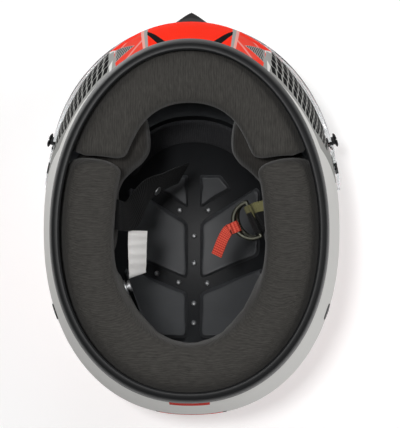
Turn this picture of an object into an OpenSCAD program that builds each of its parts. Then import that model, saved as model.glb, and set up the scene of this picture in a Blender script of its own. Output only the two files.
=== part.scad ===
// Full-face helmet for car racing, standing upright on its lower rim.
// The front faces -Y, the wearer's left side is +X, and every size is in millimetres.
// Angles run round the crown's upright axis, from 0 at the front towards the left side.
// An inset is the distance inwards from the shell's painted face, so nested layers share one shape.

/* [Shell] */
// Height of the crown above the surface that the helmet stands on
shell_height = 262; // [252:1:274]
// Half of the shell's width at its widest level
shell_side = 128; // [123:1:134]
// Reach of the shell ahead of the crown's axis at eye level
shell_front = 170.5; // [166:0.5:176]
// Reach of the shell behind the crown's axis
shell_rear = 161; // [156:1:167]
// Half of the shell's width at its lower rim
rim_side = 109; // [105:1:112]
// Reach of the lower rim ahead of the crown's axis
rim_front = 150.5; // [147:0.5:153]
// Reach of the lower rim behind the crown's axis
rim_rear = 134.5; // [131:0.5:138]
// Height of the shell's widest level at the sides
side_level = 145; // [138:1:152]
// Height of the longest reach at the front
front_level = 100; // [94:1:106]
// Height of the longest reach at the back
rear_level = 150; // [143:1:157]
// How far the chin bar swells out ahead of the face above it
chin_swell = 6.5; // [4:0.5:8]
// Height of the middle of the chin bar's swell
chin_level = 55; // [50:1:60]
// Thickness of the laminate
shell_wall = 4; // [3:0.25:4.5]

/* [Eye port] */
// Angle from the front to each end of the eye port
port_angle = 52; // [48:1:54]
// Height of the port's lower edge at the front
port_low = 104; // [101:1:108]
// Height of the port's upper edge at the front
port_high = 181; // [178:0.5:182]
// Height of the straight edge at each end of the port
port_end_height = 18; // [12:1:24]
// Thickness of the rubber lips round the port
gasket_lip = 1; // [0.8:0.1:1.2]
// Width of the rubber lips round the port
gasket_width = 5; // [4:0.5:6]

/* [Lower edge trim] */
// Thickness of each rubber lip of the lower edge trim
trim_lip = 2.2; // [1.8:0.1:2.6]
// Thickness of rubber under the shell's rim
trim_floor = 2.6; // [2:0.2:3.2]
// Height of the trim's lips above the surface
trim_height = 12; // [10:0.5:13]

/* [Visor] */
// Thickness of the visor
visor_thickness = 2.6; // [2:0.1:3.2]
// Gap between the shell and the closed visor
visor_gap = 2.2; // [2:0.1:2.6]
// Height of the visor's lower edge at the front
visor_low = 94; // [91:1:97]
// Height of the visor's upper edge at the front
visor_high = 195; // [193:1:198]
// Half of the height of the visor's arms at the pivots
visor_arm = 17; // [15:1:19]
// Height of the visor's pivots
pivot_level = 163; // [160:1:166]
// Distance of the pivots ahead of the crown's axis
pivot_ahead = 55; // [52:1:58]
// Radius of the pivot's barrel, which the visor turns on
barrel_radius = 4.5; // [4:0.1:5]
// Radius of the pivot's seat under the visor
seat_radius = 10; // [9:0.5:10.5]
// Opening angle of the visor
visor_opening = 50; // [40:1:52]
// Reach of the lift tab beyond the visor
tab_reach = 9.4; // [7:0.2:11]
// Width of the lift tab
tab_width = 27; // [22:1:32]
// Height of the lift tab
tab_height = 9; // [7:1:11]

/* [Tear-off posts and screws] */
// Angle from the front to the tear-off posts
post_angle = 57.5; // [57:0.25:58]
// Height of the tear-off posts
post_level = 152; // [148:1:156]
// Radius of a post's base and head
post_radius = 6.5; // [5.5:0.5:7]
// Radius of a post's waist
post_waist = 3.6; // [3:0.1:4.2]
// Height of a post above the visor
post_height = 6.2; // [5.4:0.2:7]
// Radius of the pivot screw's head
screw_head = 5.8; // [5.2:0.2:6.2]
// Radius of the pivot screw's shank
screw_shank = 2.5; // [2.2:0.1:2.8]

/* [Head restraint anchors] */
// Height of the anchors
anchor_level = 80; // [74:1:88]
// Angle from the front to the anchors
anchor_angle = 121; // [119:1:124]
// Radius of the anchor's outer flange
anchor_flange = 7; // [6:0.5:8]
// Radius of the anchor's barrel
anchor_barrel = 5; // [4.5:0.1:5.5]
// Radius of the anchor's tapped bore
anchor_bore = 2.5; // [2.4:0.1:2.9]
// Depth of the anchor's tapped bore
anchor_depth = 9; // [8:0.5:10]

/* [Impact liner] */
// Gap between the shell and the foam inside it
foam_gap = 1.2; // [1.1:0.1:1.5]
// Thickness of the crown's foam
foam_thickness = 29; // [26:1:32]
// Thickness of the foam in the chin bar
chin_foam = 17; // [13:1:20]
// Height of the foam's lower edge above the eye port
brow_low = 187.5; // [187:0.5:190]
// Height of the foam's lower edge over the cheek pads
cheek_top = 104; // [102:1:108]
// Height of the foam's lower edge at the back
nape_low = 65; // [62:0.5:67]

/* [Pads] */
// Half width of the neck opening between the pads
neck_side = 61; // [58:1:63]
// Reach of the neck opening ahead of the crown's axis
neck_front = 99.6; // [96:0.4:102]
// Reach of the neck opening behind the crown's axis
neck_rear = 89.4; // [86:0.4:92]
// Height of the lowest point of the front pad and the neck roll
pad_low = 5; // [4:0.5:7]
// Height of the top of the front pad and the neck roll
pad_high = 34.5; // [32:0.5:35.5]
// Height of the cheek pads' underside, above the straps
cheek_low = 41.5; // [41:0.5:44]
// Half of the width between the cheek pads at the ears
cheek_side = 61.5; // [61:0.5:63]
// Half of the width between the cheek pads at the mouth
cheek_mouth = 30.5; // [27:0.5:34]
// Thickness of the brow pad
brow_thickness = 6; // [5:0.5:8]
// Thickness of the crown's fitting panels
panel_thickness = 4; // [3:0.5:5]
// Width of the channels between the crown's panels
channel_width = 11; // [9:0.5:13]

/* [Straps] */
// Angle from the front to the strap's rivet
rivet_angle = 84; // [83:0.5:85]
// Height of the strap's rivet
rivet_level = 88; // [85:1:90]
// Radius of the strap rivet's shank
rivet_shank = 2.4; // [2:0.1:2.6]
// Radius of the strap rivet's head
rivet_head = 5; // [4.6:0.1:5.4]
// Width of the chin strap's webbing
strap_width = 25; // [22:1:26]
// Thickness of the webbing
strap_thickness = 1.6; // [1.4:0.1:1.8]
// Thickness of the D-rings' wire
ring_wire = 3.8; // [3.4:0.1:4]
// Clear length of a D-ring's straight bar
ring_window = 27; // [26.5:0.5:30]
// Width of the red pull tab
pull_width = 9.4; // [8:0.2:10]

/* [Hidden] */

running_fit = 0.05;
fixed_fit = 0.1;
slot_fit = 0.15;
seal_fit = 0.45;
flat_fit = 0.15;
bed_gap = 0.3;
facet_fit = 0.9;
soft_gap = 0.4;
dome_power = 2.15;
swell_spread = 45;
port_steps = 10;
side_steps = 16;
crown_rows = 7;
crown_cap = 62;
row_levels = [24, 38, 52, 66, 80, 92];
cutter_out = 8;
cutter_in = 12;

// The overall length runs from the lift tab's tip to the back, and its middle is at y = 0.
visor_face = visor_gap + visor_thickness;
tab_level = visor_low + tab_height / 2;
tab_tip = front_at(tab_level, -visor_face) + seal_fit + tab_reach;
axis_y = (tab_tip - shell_rear) / 2;

function rise(t) = t <= 0 ? 0 : t >= 1 ? 1 : t * t * (3 - 2 * t);
function mix(a, b, t) = a + (b - a) * t;
function flat(lists) = [for (list = lists) for (item = list) item];
function unit(v) = v / norm(v);
function total(list, i = 0) = i < len(list) ? list[i] + total(list, i + 1) : 0;

// Reach of one side of the shell at a height: a curve below the widest level and a dome above it
function reach_at(z, low, wide, level, inset) =
    z < level
        ? wide - inset - (wide - low) * pow((level - z) / level, 2)
        : (wide - inset) * sqrt(max(0, 1 - pow((z - level) / (shell_height - inset - level), dome_power)));
function swell(z) = let (t = (z - chin_level) / swell_spread) abs(t) < 1 ? chin_swell * pow(1 - t * t, 2) : 0;
function side_at(z, inset) = reach_at(z, rim_side, shell_side, side_level, inset);
function front_at(z, inset) = reach_at(z, rim_front, shell_front, front_level, inset) + swell(z);
function rear_at(z, inset) = reach_at(z, rim_rear, shell_rear, rear_level, inset);
function end_at(ahead, z, inset) = ahead ? front_at(z, inset) : rear_at(z, inset);
function fullness(ahead, z) = ahead ? 2 + 0.15 * min(1, z / 75) : 2.15 + 0.1 * min(1, z / 150);

function reach(a, z, inset) =
    let (ahead = abs(a) < 90, n = fullness(ahead, z))
    1 / pow(pow(abs(sin(a)) / side_at(z, inset), n) + pow(abs(cos(a)) / end_at(ahead, z, inset), n), 1 / n);
function at(a, r, z) = [r * sin(a), axis_y - r * cos(a), z];
function spot(a, z, inset) = at(a, reach(a, z, inset), z);

// Half width at a place on the side of the shell or of a layer in it
function half_width(y, z, inset) =
    let (ahead = y < axis_y, n = fullness(ahead, z),
        end = z < shell_height - inset ? end_at(ahead, z, inset) : 0,
        q = end > 0 ? abs(y - axis_y) / end : 1)
    q >= 1 ? 0 : side_at(z, inset) * pow(1 - pow(q, n), 1 / n);

// Outward direction of the shell's face at an angle and height
function outward(a, z) =
    let (along = spot(a + 1, z, 0) - spot(a - 1, z, 0), up = spot(a, z + 1, 0) - spot(a, z - 1, 0))
    unit(cross(along, up));

// Columns of the dome: close together round the port's ends and even elsewhere
port_columns = [for (k = [0:port_steps]) port_angle * sin(90 * k / port_steps)];
side_columns = [for (k = [1:side_steps]) port_angle + (180 - port_angle) * k / side_steps];
half_columns = concat(port_columns, side_columns);
half_count = len(half_columns);
columns = concat(
    [for (k = [half_count - 1:-1:1]) -half_columns[k]],
    [for (k = [0:half_count - 2]) half_columns[k]]);

// Height of the eye port's edges at an angle: straight, then rounded towards the ends.
// The crown's rows start above it.
port_middle = (port_low + port_high) / 2;
crown_start = max(port_high + 12, shell_height - crown_cap);
function port_bend(a) = pow(min(1, abs(a) / port_angle), 6);
function port_under(a) = mix(port_low, port_middle - port_end_height / 2, port_bend(a));
function port_over(a) = mix(port_high, port_middle + port_end_height / 2, port_bend(a));

// Two triangles of each square of a grid, seen with columns to the right and rows upwards
function square_out(a, b, c, d) = [[a, d, c], [a, c, b]];
function square_in(a, b, c, d) = [[a, c, d], [a, b, c]];

// Closed dome between two insets. Heights come row by row, and one band of it can be left open.
module dome(heights, outer, inner, open_row, open_angle) {
    lower = len(heights(0));
    rows = lower + crown_rows - 1;
    count = len(columns);
    function crown_z(k, inset) =
        crown_start + (shell_height - inset - crown_start) * sin(90 * k / crown_rows);
    function row_z(i, a, inset) = i < lower ? heights(a)[i] : crown_z(i - lower + 1, inset);
    function skin(inset) = [for (i = [0:rows - 1]) for (a = columns) spot(a, row_z(i, a, inset), inset)];
    function pole(inset) = [0, axis_y, shell_height - inset];
    points = concat(skin(outer), [pole(outer)], skin(inner), [pole(inner)]);
    top = rows * count;
    back = top + 1;
    function v(i, j) = i * count + j % count;
    function inside(j) = abs(columns[j % count]) < open_angle + 0.01;
    function is_open(i, j) = i == open_row && inside(j) && inside(j + 1);
    sides = flat([for (i = [0:rows - 2]) for (j = [0:count - 1])
        let (a = v(i, j), b = v(i, j + 1), c = v(i + 1, j + 1), d = v(i + 1, j))
        is_open(i, j)
            ? concat(
                square_out(b, a, back + a, back + b),
                square_out(d, c, back + c, back + d),
                is_open(i, (j + count - 1) % count) ? [] : square_out(a, d, back + d, back + a),
                is_open(i, (j + 1) % count) ? [] : square_out(c, b, back + b, back + c))
            : concat(
                square_out(a, b, c, d),
                square_in(back + a, back + b, back + c, back + d))]);
    rim = flat([for (j = [0:count - 1])
        square_in(v(0, j), v(0, j + 1), back + v(0, j + 1), back + v(0, j))]);
    crown = flat([for (j = [0:count - 1])
        let (a = v(rows - 1, j), b = v(rows - 1, j + 1))
        [[a, top, b], [back + a, back + b, back + top]]]);
    polyhedron(points, concat(sides, rim, crown), convexity = 6);
}

// Closed solid between two like grids of points, columns to the right and rows upwards from outside
module slab(outer, inner) {
    rows = len(outer);
    cols = len(outer[0]);
    back = rows * cols;
    function v(i, j) = i * cols + j;
    faces = flat([for (i = [0:rows - 2]) for (j = [0:cols - 2])
        let (a = v(i, j), b = v(i, j + 1), c = v(i + 1, j + 1), d = v(i + 1, j))
        concat(
            square_out(a, b, c, d),
            square_in(back + a, back + b, back + c, back + d),
            i > 0 ? [] : square_in(a, b, back + b, back + a),
            i < rows - 2 ? [] : square_in(c, d, back + d, back + c),
            j > 0 ? [] : square_in(d, a, back + a, back + d),
            j < cols - 2 ? [] : square_in(b, c, back + c, back + b))]);
    polyhedron(concat(flat(outer), flat(inner)), faces, convexity = 6);
}

// Closed solid through a row of like loops. Each loop runs right-handed about the way of travel.
module loft(loops, ring = false) {
    count = len(loops);
    size = len(loops[0]);
    function v(i, j) = (i % count) * size + j % size;
    function middle(loop) = [for (k = [0:2]) total([for (p = loop) p[k]]) / size];
    sides = flat([for (i = [0:count - (ring ? 1 : 2)]) for (j = [0:size - 1])
        square_out(v(i, j), v(i, j + 1), v(i + 1, j + 1), v(i + 1, j))]);
    ends = flat([for (j = [0:size - 1])
        [[count * size, v(0, j), v(0, j + 1)],
            [count * size + 1, v(count - 1, j + 1), v(count - 1, j)]]]);
    caps = [middle(loops[0]), middle(loops[count - 1])];
    polyhedron(ring ? flat(loops) : concat(flat(loops), caps), ring ? sides : concat(sides, ends),
        convexity = 6);
}

// Rounded section of a cushion: across from 0 at the opening to 1 at the shell, and up from -1 to 1
section_points = 14;
function signed_pow(x, n) = sign(x) * pow(abs(x), n);
cushion_section = [for (k = [0:section_points - 1])
    let (t = 360 * k / section_points)
    [0.5 - 0.5 * signed_pow(cos(t), 0.7), signed_pow(sin(t), 0.7)]];

// Cushion swept round the helmet, from angle mid - half to mid + half, with rounded ends.
// It lies between an inner and an outer face, and leans along its ends by a shift of angle.
end_share = 0.45;
module cushion(mid, half, steps, shift, inner, outer, low, high, corner) {
    function end_share_at(a) =
        let (d = min(1, (half - abs(a - mid)) * inner(a, low) * PI / 180 / corner))
        mix(end_share, 1, sqrt(max(0, 1 - (1 - d) * (1 - d))));
    function loop(a) =
        let (e = end_share_at(a), middle = (low + high(a)) / 2)
        [for (p = cushion_section)
            let (across = 0.5 + (p[0] - 0.5) * e, z = middle + (high(a) - low) / 2 * p[1] * e,
                b = a + shift(a) * across)
            at(b, mix(inner(a, z), outer(b, z), across), z)];
    loft([for (k = [-steps:steps]) loop(mid + half * sin(90 * k / steps))]);
}

// Curve through points chosen by hand, with even steps between each pair
function curve_point(p, i, t) =
    let (a = p[max(0, i - 1)], b = p[i], c = p[i + 1], d = p[min(len(p) - 1, i + 2)])
    0.5 * (2 * b + (c - a) * t + (2 * a - 5 * b + 4 * c - d) * t * t + (3 * b - a - 3 * c + d) * t * t * t);
function curve(p, steps) = concat(
    [for (i = [0:len(p) - 2]) for (k = [0:steps - 1]) curve_point(p, i, k / steps)], [p[len(p) - 1]]);

// Frame of a ribbon at point i of a path. Each item is a place and a hint of the width's direction.
function place_of(item) = [item[0], item[1], item[2]];
function ribbon_along(path, i) =
    unit(place_of(path[min(len(path) - 1, i + 1)]) - place_of(path[max(0, i - 1)]));
function ribbon_across(path, i) =
    let (along = ribbon_along(path, i), hint = [path[i][3], path[i][4], path[i][5]])
    unit(hint - along * (hint * along));
function ribbon_face(path, i) = cross(ribbon_along(path, i), ribbon_across(path, i));
module ribbon(path, width, thickness) {
    function edge(i, side, level) = place_of(path[i]) + ribbon_across(path, i) * side * width / 2
        + ribbon_face(path, i) * level * thickness / 2;
    steps = [0:len(path) - 1];
    slab([for (i = steps) [edge(i, 1, 1), edge(i, -1, 1)]],
        [for (i = steps) [edge(i, 1, -1), edge(i, -1, -1)]]);
}

// Moves a part drawn along +X from its origin to a place, with +X turned to a direction
module aim(place, way) {
    translate(place)
        rotate([0, 0, atan2(way[1], way[0])])
            rotate([0, -asin(way[2] / norm(way)), 0])
                children();
}
module rod(from, to, radius) {
    translate([from, 0, 0]) rotate([0, 90, 0]) cylinder(h = to - from, r = radius, $fn = 48);
}
// Turned part about +X: points are radius and distance along the axis
module turned(points) {
    rotate([0, 90, 0]) rotate_extrude($fn = 48) polygon(points);
}
// Mirrors a part drawn on the wearer's left (+X) onto the right when side is -1
module on_side(side) {
    if (side > 0) children();
    else mirror([1, 0, 0]) children();
}

// Visor pivot on the wearer's left, and the flat seat cut for it in the shell
pivot_y = axis_y - pivot_ahead;
pivot_x = half_width(pivot_y, pivot_level, 0);
pivot = [0, pivot_y, pivot_level];
seat_back = pivot_x + 0.9;
seat_face = pivot_x + 1.8;
visor_seat = seat_face + 0.2;
visor_outside = visor_seat + visor_thickness;

// Places of what is fastened through the shell
anchor_place = spot(anchor_angle, anchor_level, 0);
anchor_way = outward(anchor_angle, anchor_level);
rivet_place = spot(rivet_angle, rivet_level, 0);
rivet_way = outward(rivet_angle, rivet_level);
flange_recess = 1;
rivet_recess = 1.4;

module outer_shell() {
    below = row_levels[len(row_levels) - 1];
    heights = function (a) concat([trim_floor, trim_height], row_levels,
        [mix(below, port_under(a), 0.5), port_under(a), port_over(a), mix(port_over(a), crown_start, 0.4),
            mix(port_over(a), crown_start, 0.72), crown_start]);
    color("whitesmoke")
        difference() {
            dome(heights, 0, shell_wall, len(row_levels) + 3, port_angle);
            for (side = [-1, 1]) on_side(side) {
                translate(pivot) rod(seat_back, seat_back + cutter_out, seat_radius + bed_gap);
                translate(pivot) rod(pivot_x - cutter_in, pivot_x + cutter_out, screw_shank + fixed_fit);
                aim(anchor_place, anchor_way) rod(-cutter_in, cutter_out, anchor_barrel + fixed_fit);
                aim(anchor_place, anchor_way) rod(-flange_recess, cutter_out, anchor_flange + 2 * fixed_fit);
                aim(rivet_place, rivet_way) rod(-cutter_in, cutter_out, rivet_shank + fixed_fit);
                aim(rivet_place, rivet_way) rod(-rivet_recess, cutter_out, rivet_head + fixed_fit);
            }
        }
}

// Rubber channel pushed onto the shell's lower rim: inset and height of each corner of its section
trim_inside = shell_wall + slot_fit + trim_lip;
trim_outside = -slot_fit - trim_lip * 0.8;
trim_section = [
    [trim_inside, 2], [trim_inside, trim_height], [trim_inside - trim_lip / 2, trim_height + 1.2],
    [shell_wall + slot_fit, trim_height], [shell_wall + slot_fit, trim_floor - slot_fit],
    [-slot_fit, trim_floor - slot_fit], [-slot_fit, trim_height], [trim_outside / 2, trim_height],
    [trim_outside, trim_height - 2], [trim_outside, 2.2], [-0.6, 0.6], [1, 0], [shell_wall - 0.6, 0],
    [shell_wall + trim_lip * 0.6, 0.6]];
module base_trim() {
    color("#17181b") loft([for (a = columns) [for (p = trim_section) spot(a, p[1], p[0])]], true);
}

// Rubber channel round the eye port: distance from the port's edge and inset of each corner
port_arc = 2.6;
gasket_inside = shell_wall + seal_fit;
gasket_section = [
    [-2, -0.3], [-2, shell_wall + 0.3], [-0.9, gasket_inside + gasket_lip],
    [gasket_width, gasket_inside + gasket_lip], [gasket_width, gasket_inside], [-seal_fit, gasket_inside],
    [-seal_fit, -seal_fit], [gasket_width, -seal_fit], [gasket_width, -seal_fit - gasket_lip * 0.7],
    [gasket_width - 1, -seal_fit - gasket_lip], [-0.9, -seal_fit - gasket_lip]];
port_line = concat([for (k = [port_steps:-1:1]) -port_columns[k]], port_columns);
port_ring = concat(
    [for (a = port_line) [a, port_under(a)]],
    [for (k = [len(port_line) - 1:-1:0]) [port_line[k], port_over(port_line[k])]]);
module port_gasket() {
    count = len(port_ring);
    function way(i) =
        let (p = port_ring[(i + 1) % count], q = port_ring[(i + count - 1) % count])
        unit([(p[0] - q[0]) * port_arc, p[1] - q[1]]);
    function place(i, p) =
        let (w = way(i)) spot(port_ring[i][0] + w[1] * p[0] / port_arc, port_ring[i][1] - w[0] * p[0], p[1]);
    last = len(gasket_section) - 1;
    color("#141517")
        loft([for (i = [0:count - 1]) [for (k = [last:-1:0]) place(i, gasket_section[k])]], true);
}

// Crushable foam under the shell, above the cheek pads and the neck roll
foam_out = shell_wall + foam_gap;
foam_in = foam_out + foam_thickness;
function liner_low(a) = abs(a) < port_angle + 1 ? brow_low : abs(a) < 104 ? cheek_top : nape_low;
module impact_liner() {
    row_shares = [0, 0.35, 0.62, 0.8, 0.91, 1];
    heights = function (a) [for (share = row_shares) mix(liner_low(a), crown_start, share)];
    color("#202123")
        difference() {
            dome(heights, foam_out, foam_in, -1, 0);
            for (side = [-1, 1]) on_side(side) {
                aim(anchor_place, anchor_way) rod(-anchor_depth - 5, -2, anchor_flange + 2);
                translate(pivot) rod(pivot_x - 16, pivot_x, nut_radius + 1.5);
            }
        }
}

// Foam block inside the chin bar
module chin_foam_block() {
    heights = [39, 52, 66, 80, 92];
    function face(inset) = [for (z = heights) [for (k = [-9:9]) spot(port_angle * k / 9, z, inset)]];
    color("#2a2b2d") slab(face(foam_out), face(foam_out + chin_foam));
}

// Front pad and neck roll, which meet at a leaning seam on each side
seam_angle = 46;
seam_gap = 0.9;
seam_lean = 18;
pad_corner = 13;
seam_shift = function (a) seam_lean * sin(a);
neck_edge = function (a, z)
    let (ahead = cos(a) > 0, n = ahead ? 2.3 : 2.1, end = ahead ? neck_front : neck_rear)
    1 / pow(pow(abs(sin(a)) / neck_side, n) + pow(abs(cos(a)) / end, n), 1 / n);
// Outer face of the pads: clear of the trim's lip below, against the shell above it
pad_edge = function (a, z)
    let (above_trim = rise((z - trim_height - 2) / 6))
    reach(a > 180 ? a - 360 : a, z, mix(trim_inside + 0.9, shell_wall + soft_gap, above_trim));
pad_top = function (a) mix(pad_high, nape_low - 3, rise((min(a, 360 - a) - 113) / 9));
module front_pad() {
    front_top = function (a) pad_high;
    color("#3b3a38")
        cushion(0, seam_angle - seam_gap, 12, seam_shift, neck_edge, pad_edge, pad_low, front_top, pad_corner);
}
module neck_roll() {
    color("#3b3a38")
        cushion(180, 180 - seam_angle - seam_gap, 19, seam_shift, neck_edge, pad_edge, pad_low, pad_top,
            pad_corner);
}

// Cheek pads: thick at the mouth, thinner at the ears, and let in round the strap and the foam
cheek_start = 20;
cheek_end = 110;
strap_room = shell_wall + 5.8;
no_shift = function (a) 0;
cheek_face = function (a, z) mix(cheek_side, cheek_mouth, rise((65 - a) / 47)) / sin(a);
cheek_back = function (a, z)
    reach(a, z, a < 75
        ? mix(foam_out + chin_foam + soft_gap + 0.5, strap_room, rise((a - 57) / 8))
        : mix(strap_room, foam_in + soft_gap + 0.5, rise((a - 91) / 8)));
module cheek_pad(side) {
    cheek_high = function (a) cheek_top - soft_gap;
    color("#393836")
        on_side(side)
            cushion((cheek_start + cheek_end) / 2, (cheek_end - cheek_start) / 2, 12, no_shift, cheek_face,
                cheek_back, cheek_low, cheek_high, pad_corner);
}

// Brow pad on the foam above the eye port, up to a share of the height under the crown's foam
brow_top = mix(brow_low, shell_height - foam_in, 0.4);
module brow_pad() {
    foam_face = function (a, z) reach(a, z, foam_in + 0.5);
    brow_face = function (a, z) foam_face(a, z) - brow_thickness;
    brow_high = function (a) brow_top;
    color("#1c1c1e") cushion(0, 50, 9, no_shift, brow_face, foam_face, brow_low, brow_high, pad_corner);
}

// Height of a nested dome over a place on the plan, found by halving the space between two heights
function dome_z(x, y, inset, low = port_low, high = 0, n = 20) =
    let (top = high > 0 ? high : shell_height - inset, z = (low + top) / 2)
    n == 0 ? z
        : reach(atan2(x, axis_y - y), z, inset) > norm([x, y - axis_y])
            ? dome_z(x, y, inset, z, top, n - 1)
            : dome_z(x, y, inset, low, z, n - 1);

// Raised fitting panel on the foam, rounded inside its bounding lines and with a bevelled edge.
// Each bounding line is its outward direction and a point on it, on the plan.
panel_sides = 24;
panel_bevel = 2.5;
panel_roundness = 9;
module panel(centre, lines) {
    function outline(t) =
        let (d = [cos(t), sin(t)])
        1 / pow(total([for (line = lines)
            pow(max(0, d * line[0]) / ((line[1] - centre) * line[0]), panel_roundness)]), 1 / panel_roundness);
    function place(t, share, cut, inset) =
        let (r = (outline(t) - cut) * share, x = centre[0] + r * cos(t), y = centre[1] + r * sin(t))
        [x, y, dome_z(x, y, inset)];
    back = foam_in + facet_fit;
    face = back + panel_thickness;
    rings = [[0.05, 0, face], [0.5, 0, face], [1, panel_bevel, face],
        [1, panel_bevel * 0.3, mix(back, face, 0.72)], [1, 0, mix(back, face, 0.3)], [1, 0, back],
        [0.5, 0, back], [0.05, 0, back]];
    loft([for (ring = rings)
        [for (i = [0:panel_sides - 1]) place(360 * i / panel_sides, ring[0], ring[1], ring[2])]]);
}

// Places on the plan of a crown whose foam reaches 82.1 ahead of its axis at the top of the brow pad.
// They draw in or spread out with the crown.
plan_share = front_at(brow_top, foam_in) / 82.1;
function plan(x, y) = [x * plan_share, axis_y + (y - axis_y) * plan_share];

// Channels between the panels: one along the middle, and two pairs that leave it at an angle
channel_half = channel_width / 2;
front_branch = [plan(0, 3.5)[1], 32];
rear_branch = [plan(0, 67)[1], 22];
// Bounding line of a panel along a branch: way is -1 for a panel ahead of it and 1 for one behind it
function branch_line(branch, way) =
    let (normal = [-way * sin(branch[1]), -way * cos(branch[1])])
    [normal, [0, branch[0]] - normal * channel_half];
function on_branch(branch, x) =
    let (out = x * plan_share) [out, branch[0] - abs(out) * tan(branch[1])];
spine_line = [[-1, 0], [channel_half, 0]];
module panel_front(side) {
    color("#2b2b2d") on_side(side)
        panel(plan(14, -27), [spine_line, [[0, -1], plan(0, -37)], [[0.8, -0.6], plan(27, -34)],
            branch_line(front_branch, -1)]);
}
module panel_mid(side) {
    color("#2b2b2d") on_side(side)
        panel(plan(30, 22), [spine_line, [[1, 0], plan(60, 0)], branch_line(front_branch, 1),
            branch_line(rear_branch, -1)]);
}
module panel_rear(side) {
    color("#2b2b2d") on_side(side)
        panel(plan(26, 84), [spine_line, [[0.95, 0.31], plan(54, 80)], [[0, 1], plan(0, 111)],
            branch_line(rear_branch, 1)]);
}

// Steel studs pushed into the foam in the channels
stud_radius = 2.4;
stud_height = 1.8;
stud_spine_y = [19, 44, 80.5, 98];
stud_places = concat(
    [for (y = stud_spine_y) plan(0, y)],
    [on_branch(front_branch, 13), on_branch(front_branch, -13), on_branch(rear_branch, 12),
        on_branch(rear_branch, -14), on_branch(rear_branch, -34)]);
module stud(i) {
    x = stud_places[i][0];
    y = stud_places[i][1];
    function height(dx, dy) = dome_z(x + dx, y + dy, foam_in);
    slope = [height(1, 0) - height(-1, 0), height(0, 1) - height(0, -1)] / 2;
    color("silver")
        aim([x, y, height(0, 0)], unit([slope[0], slope[1], -1]))
            turned([[0, 0.3], [stud_radius, 0.3], [stud_radius, 1], [stud_radius * 0.7, stud_height - 0.3],
                [stud_radius * 0.3, stud_height], [0, stud_height]]);
}

// Clear visor: it follows the shell, and stands far enough off it at the sides to swing open
visor_end = 75;
arm_angle = 66;
visor_columns = concat([for (k = [0:13]) arm_angle * k / 13],
    [for (k = [1:4]) arm_angle + (visor_end - arm_angle) * sin(22.5 * k)]);
visor_rows = 9;
seat_margin = 8;
seat_relief = 0.5;
screw_relief = 0.7;
free_steps = 10;
visor_middle = (visor_low + visor_high) / 2;
visor_half = (visor_high - visor_low) / 2;
function visor_centre(a) = mix(visor_middle, pivot_level, rise((abs(a) - 44) / (arm_angle - 44)));
function visor_spread(a) =
    mix(visor_half, visor_arm, rise((abs(a) - 36) / (arm_angle - 36)))
        * sqrt(max(0.12, 1 - pow(max(0, abs(a) - arm_angle) / (visor_end - arm_angle), 2)));
function swept_width(y, z, turn) =
    let (dy = y - pivot_y, dz = z - pivot_level)
    half_width(pivot_y + dy * cos(turn) + dz * sin(turn), pivot_level - dy * sin(turn) + dz * cos(turn),
        0.2 - visor_gap);
function visor_point(a, z, off) =
    let (p = spot(a, z, -visor_gap - off), y = p[1],
        near = norm([y - pivot_y, z - pivot_level]) < seat_radius + seat_margin ? visor_seat : 0,
        free = max([for (k = [0:free_steps]) swept_width(y, z, visor_opening * k / free_steps)]))
    abs(a) < 20 ? p : [sign(a) * max(abs(p[0]), max(near, free) + off), y, z];
post_place = visor_point(post_angle, post_level, visor_thickness);
post_way = unit(cross(
    visor_point(post_angle + 2, post_level, 0) - visor_point(post_angle - 2, post_level, 0),
    visor_point(post_angle, post_level + 4, 0) - visor_point(post_angle, post_level - 4, 0)));
module visor() {
    last = len(visor_columns) - 1;
    angles = concat([for (k = [last:-1:1]) -visor_columns[k]], visor_columns);
    function row(a, i) = visor_centre(a) + visor_spread(a) * (2 * i / visor_rows - 1);
    function skin(off) = [for (i = [0:visor_rows]) [for (a = angles) visor_point(a, row(a, i), off)]];
    color("#9aa3a8")
        difference() {
            slab(skin(visor_thickness), skin(0));
            for (side = [-1, 1]) on_side(side) {
                translate(pivot) rod(pivot_x - cutter_out, pivot_x + cutter_in, barrel_radius + running_fit);
                translate(pivot) rod(pivot_x - cutter_out, visor_seat, seat_radius + seat_relief);
                translate(pivot) rod(visor_outside, visor_outside + cutter_out, screw_head + screw_relief);
                aim(post_place, post_way) {
                    rod(-cutter_out, cutter_out, post_shank + fixed_fit);
                    rod(-cutter_out, -visor_thickness, post_inner_radius + seat_relief);
                    rod(0, cutter_out, post_radius + seat_relief);
                }
            }
        }
}

// Pointed tab that lifts the visor, bonded to the middle of its lower edge
module visor_lift_tab() {
    half_angle = atan(tab_width / 2 / front_at(tab_level, -visor_face));
    shares = [[0.04, 0.4], [0.2, 0.88], [0.5, 1], [0.82, 0.85], [0.96, 0.4]];
    function row(share, scale) = [for (k = [-6:6])
        let (t = k / 6, out = 0.8 + (tab_reach - 0.8) * scale * (1 - pow(abs(t), 1.15)))
        spot(half_angle * t, visor_low + tab_height * share, -visor_face - seal_fit - out)];
    function back(share) = [for (k = [-6:6])
        spot(half_angle * k / 6, visor_low + tab_height * share, -visor_face - seal_fit)];
    color("#121214") slab([for (s = shares) row(s[0], s[1])], [for (s = shares) back(s[0])]);
}

// Wedge-shaped seat on the shell, with the barrel that carries the visor
module pivot_seat(side) {
    steps = 32;
    function back_x(y, z) = min(half_width(y, z, 0), seat_back) + bed_gap;
    function ring(radius, on_face) = [for (k = [0:steps - 1])
        let (y = pivot_y + radius * cos(360 * k / steps), z = pivot_level + radius * sin(360 * k / steps))
        [on_face ? seat_face : back_x(y, z), y, z]];
    radii = [1.5, seat_radius * 0.6, seat_radius];
    color("#161719")
        on_side(side)
            difference() {
                union() {
                    loft(concat([for (r = radii) ring(r, false)], [for (k = [2:-1:0]) ring(radii[k], true)]));
                    translate(pivot) rod(seat_face - 0.8, visor_outside + 0.15, barrel_radius);
                }
                translate(pivot) rod(pivot_x - cutter_in, pivot_x + cutter_in, screw_shank + fixed_fit);
            }
}

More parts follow.
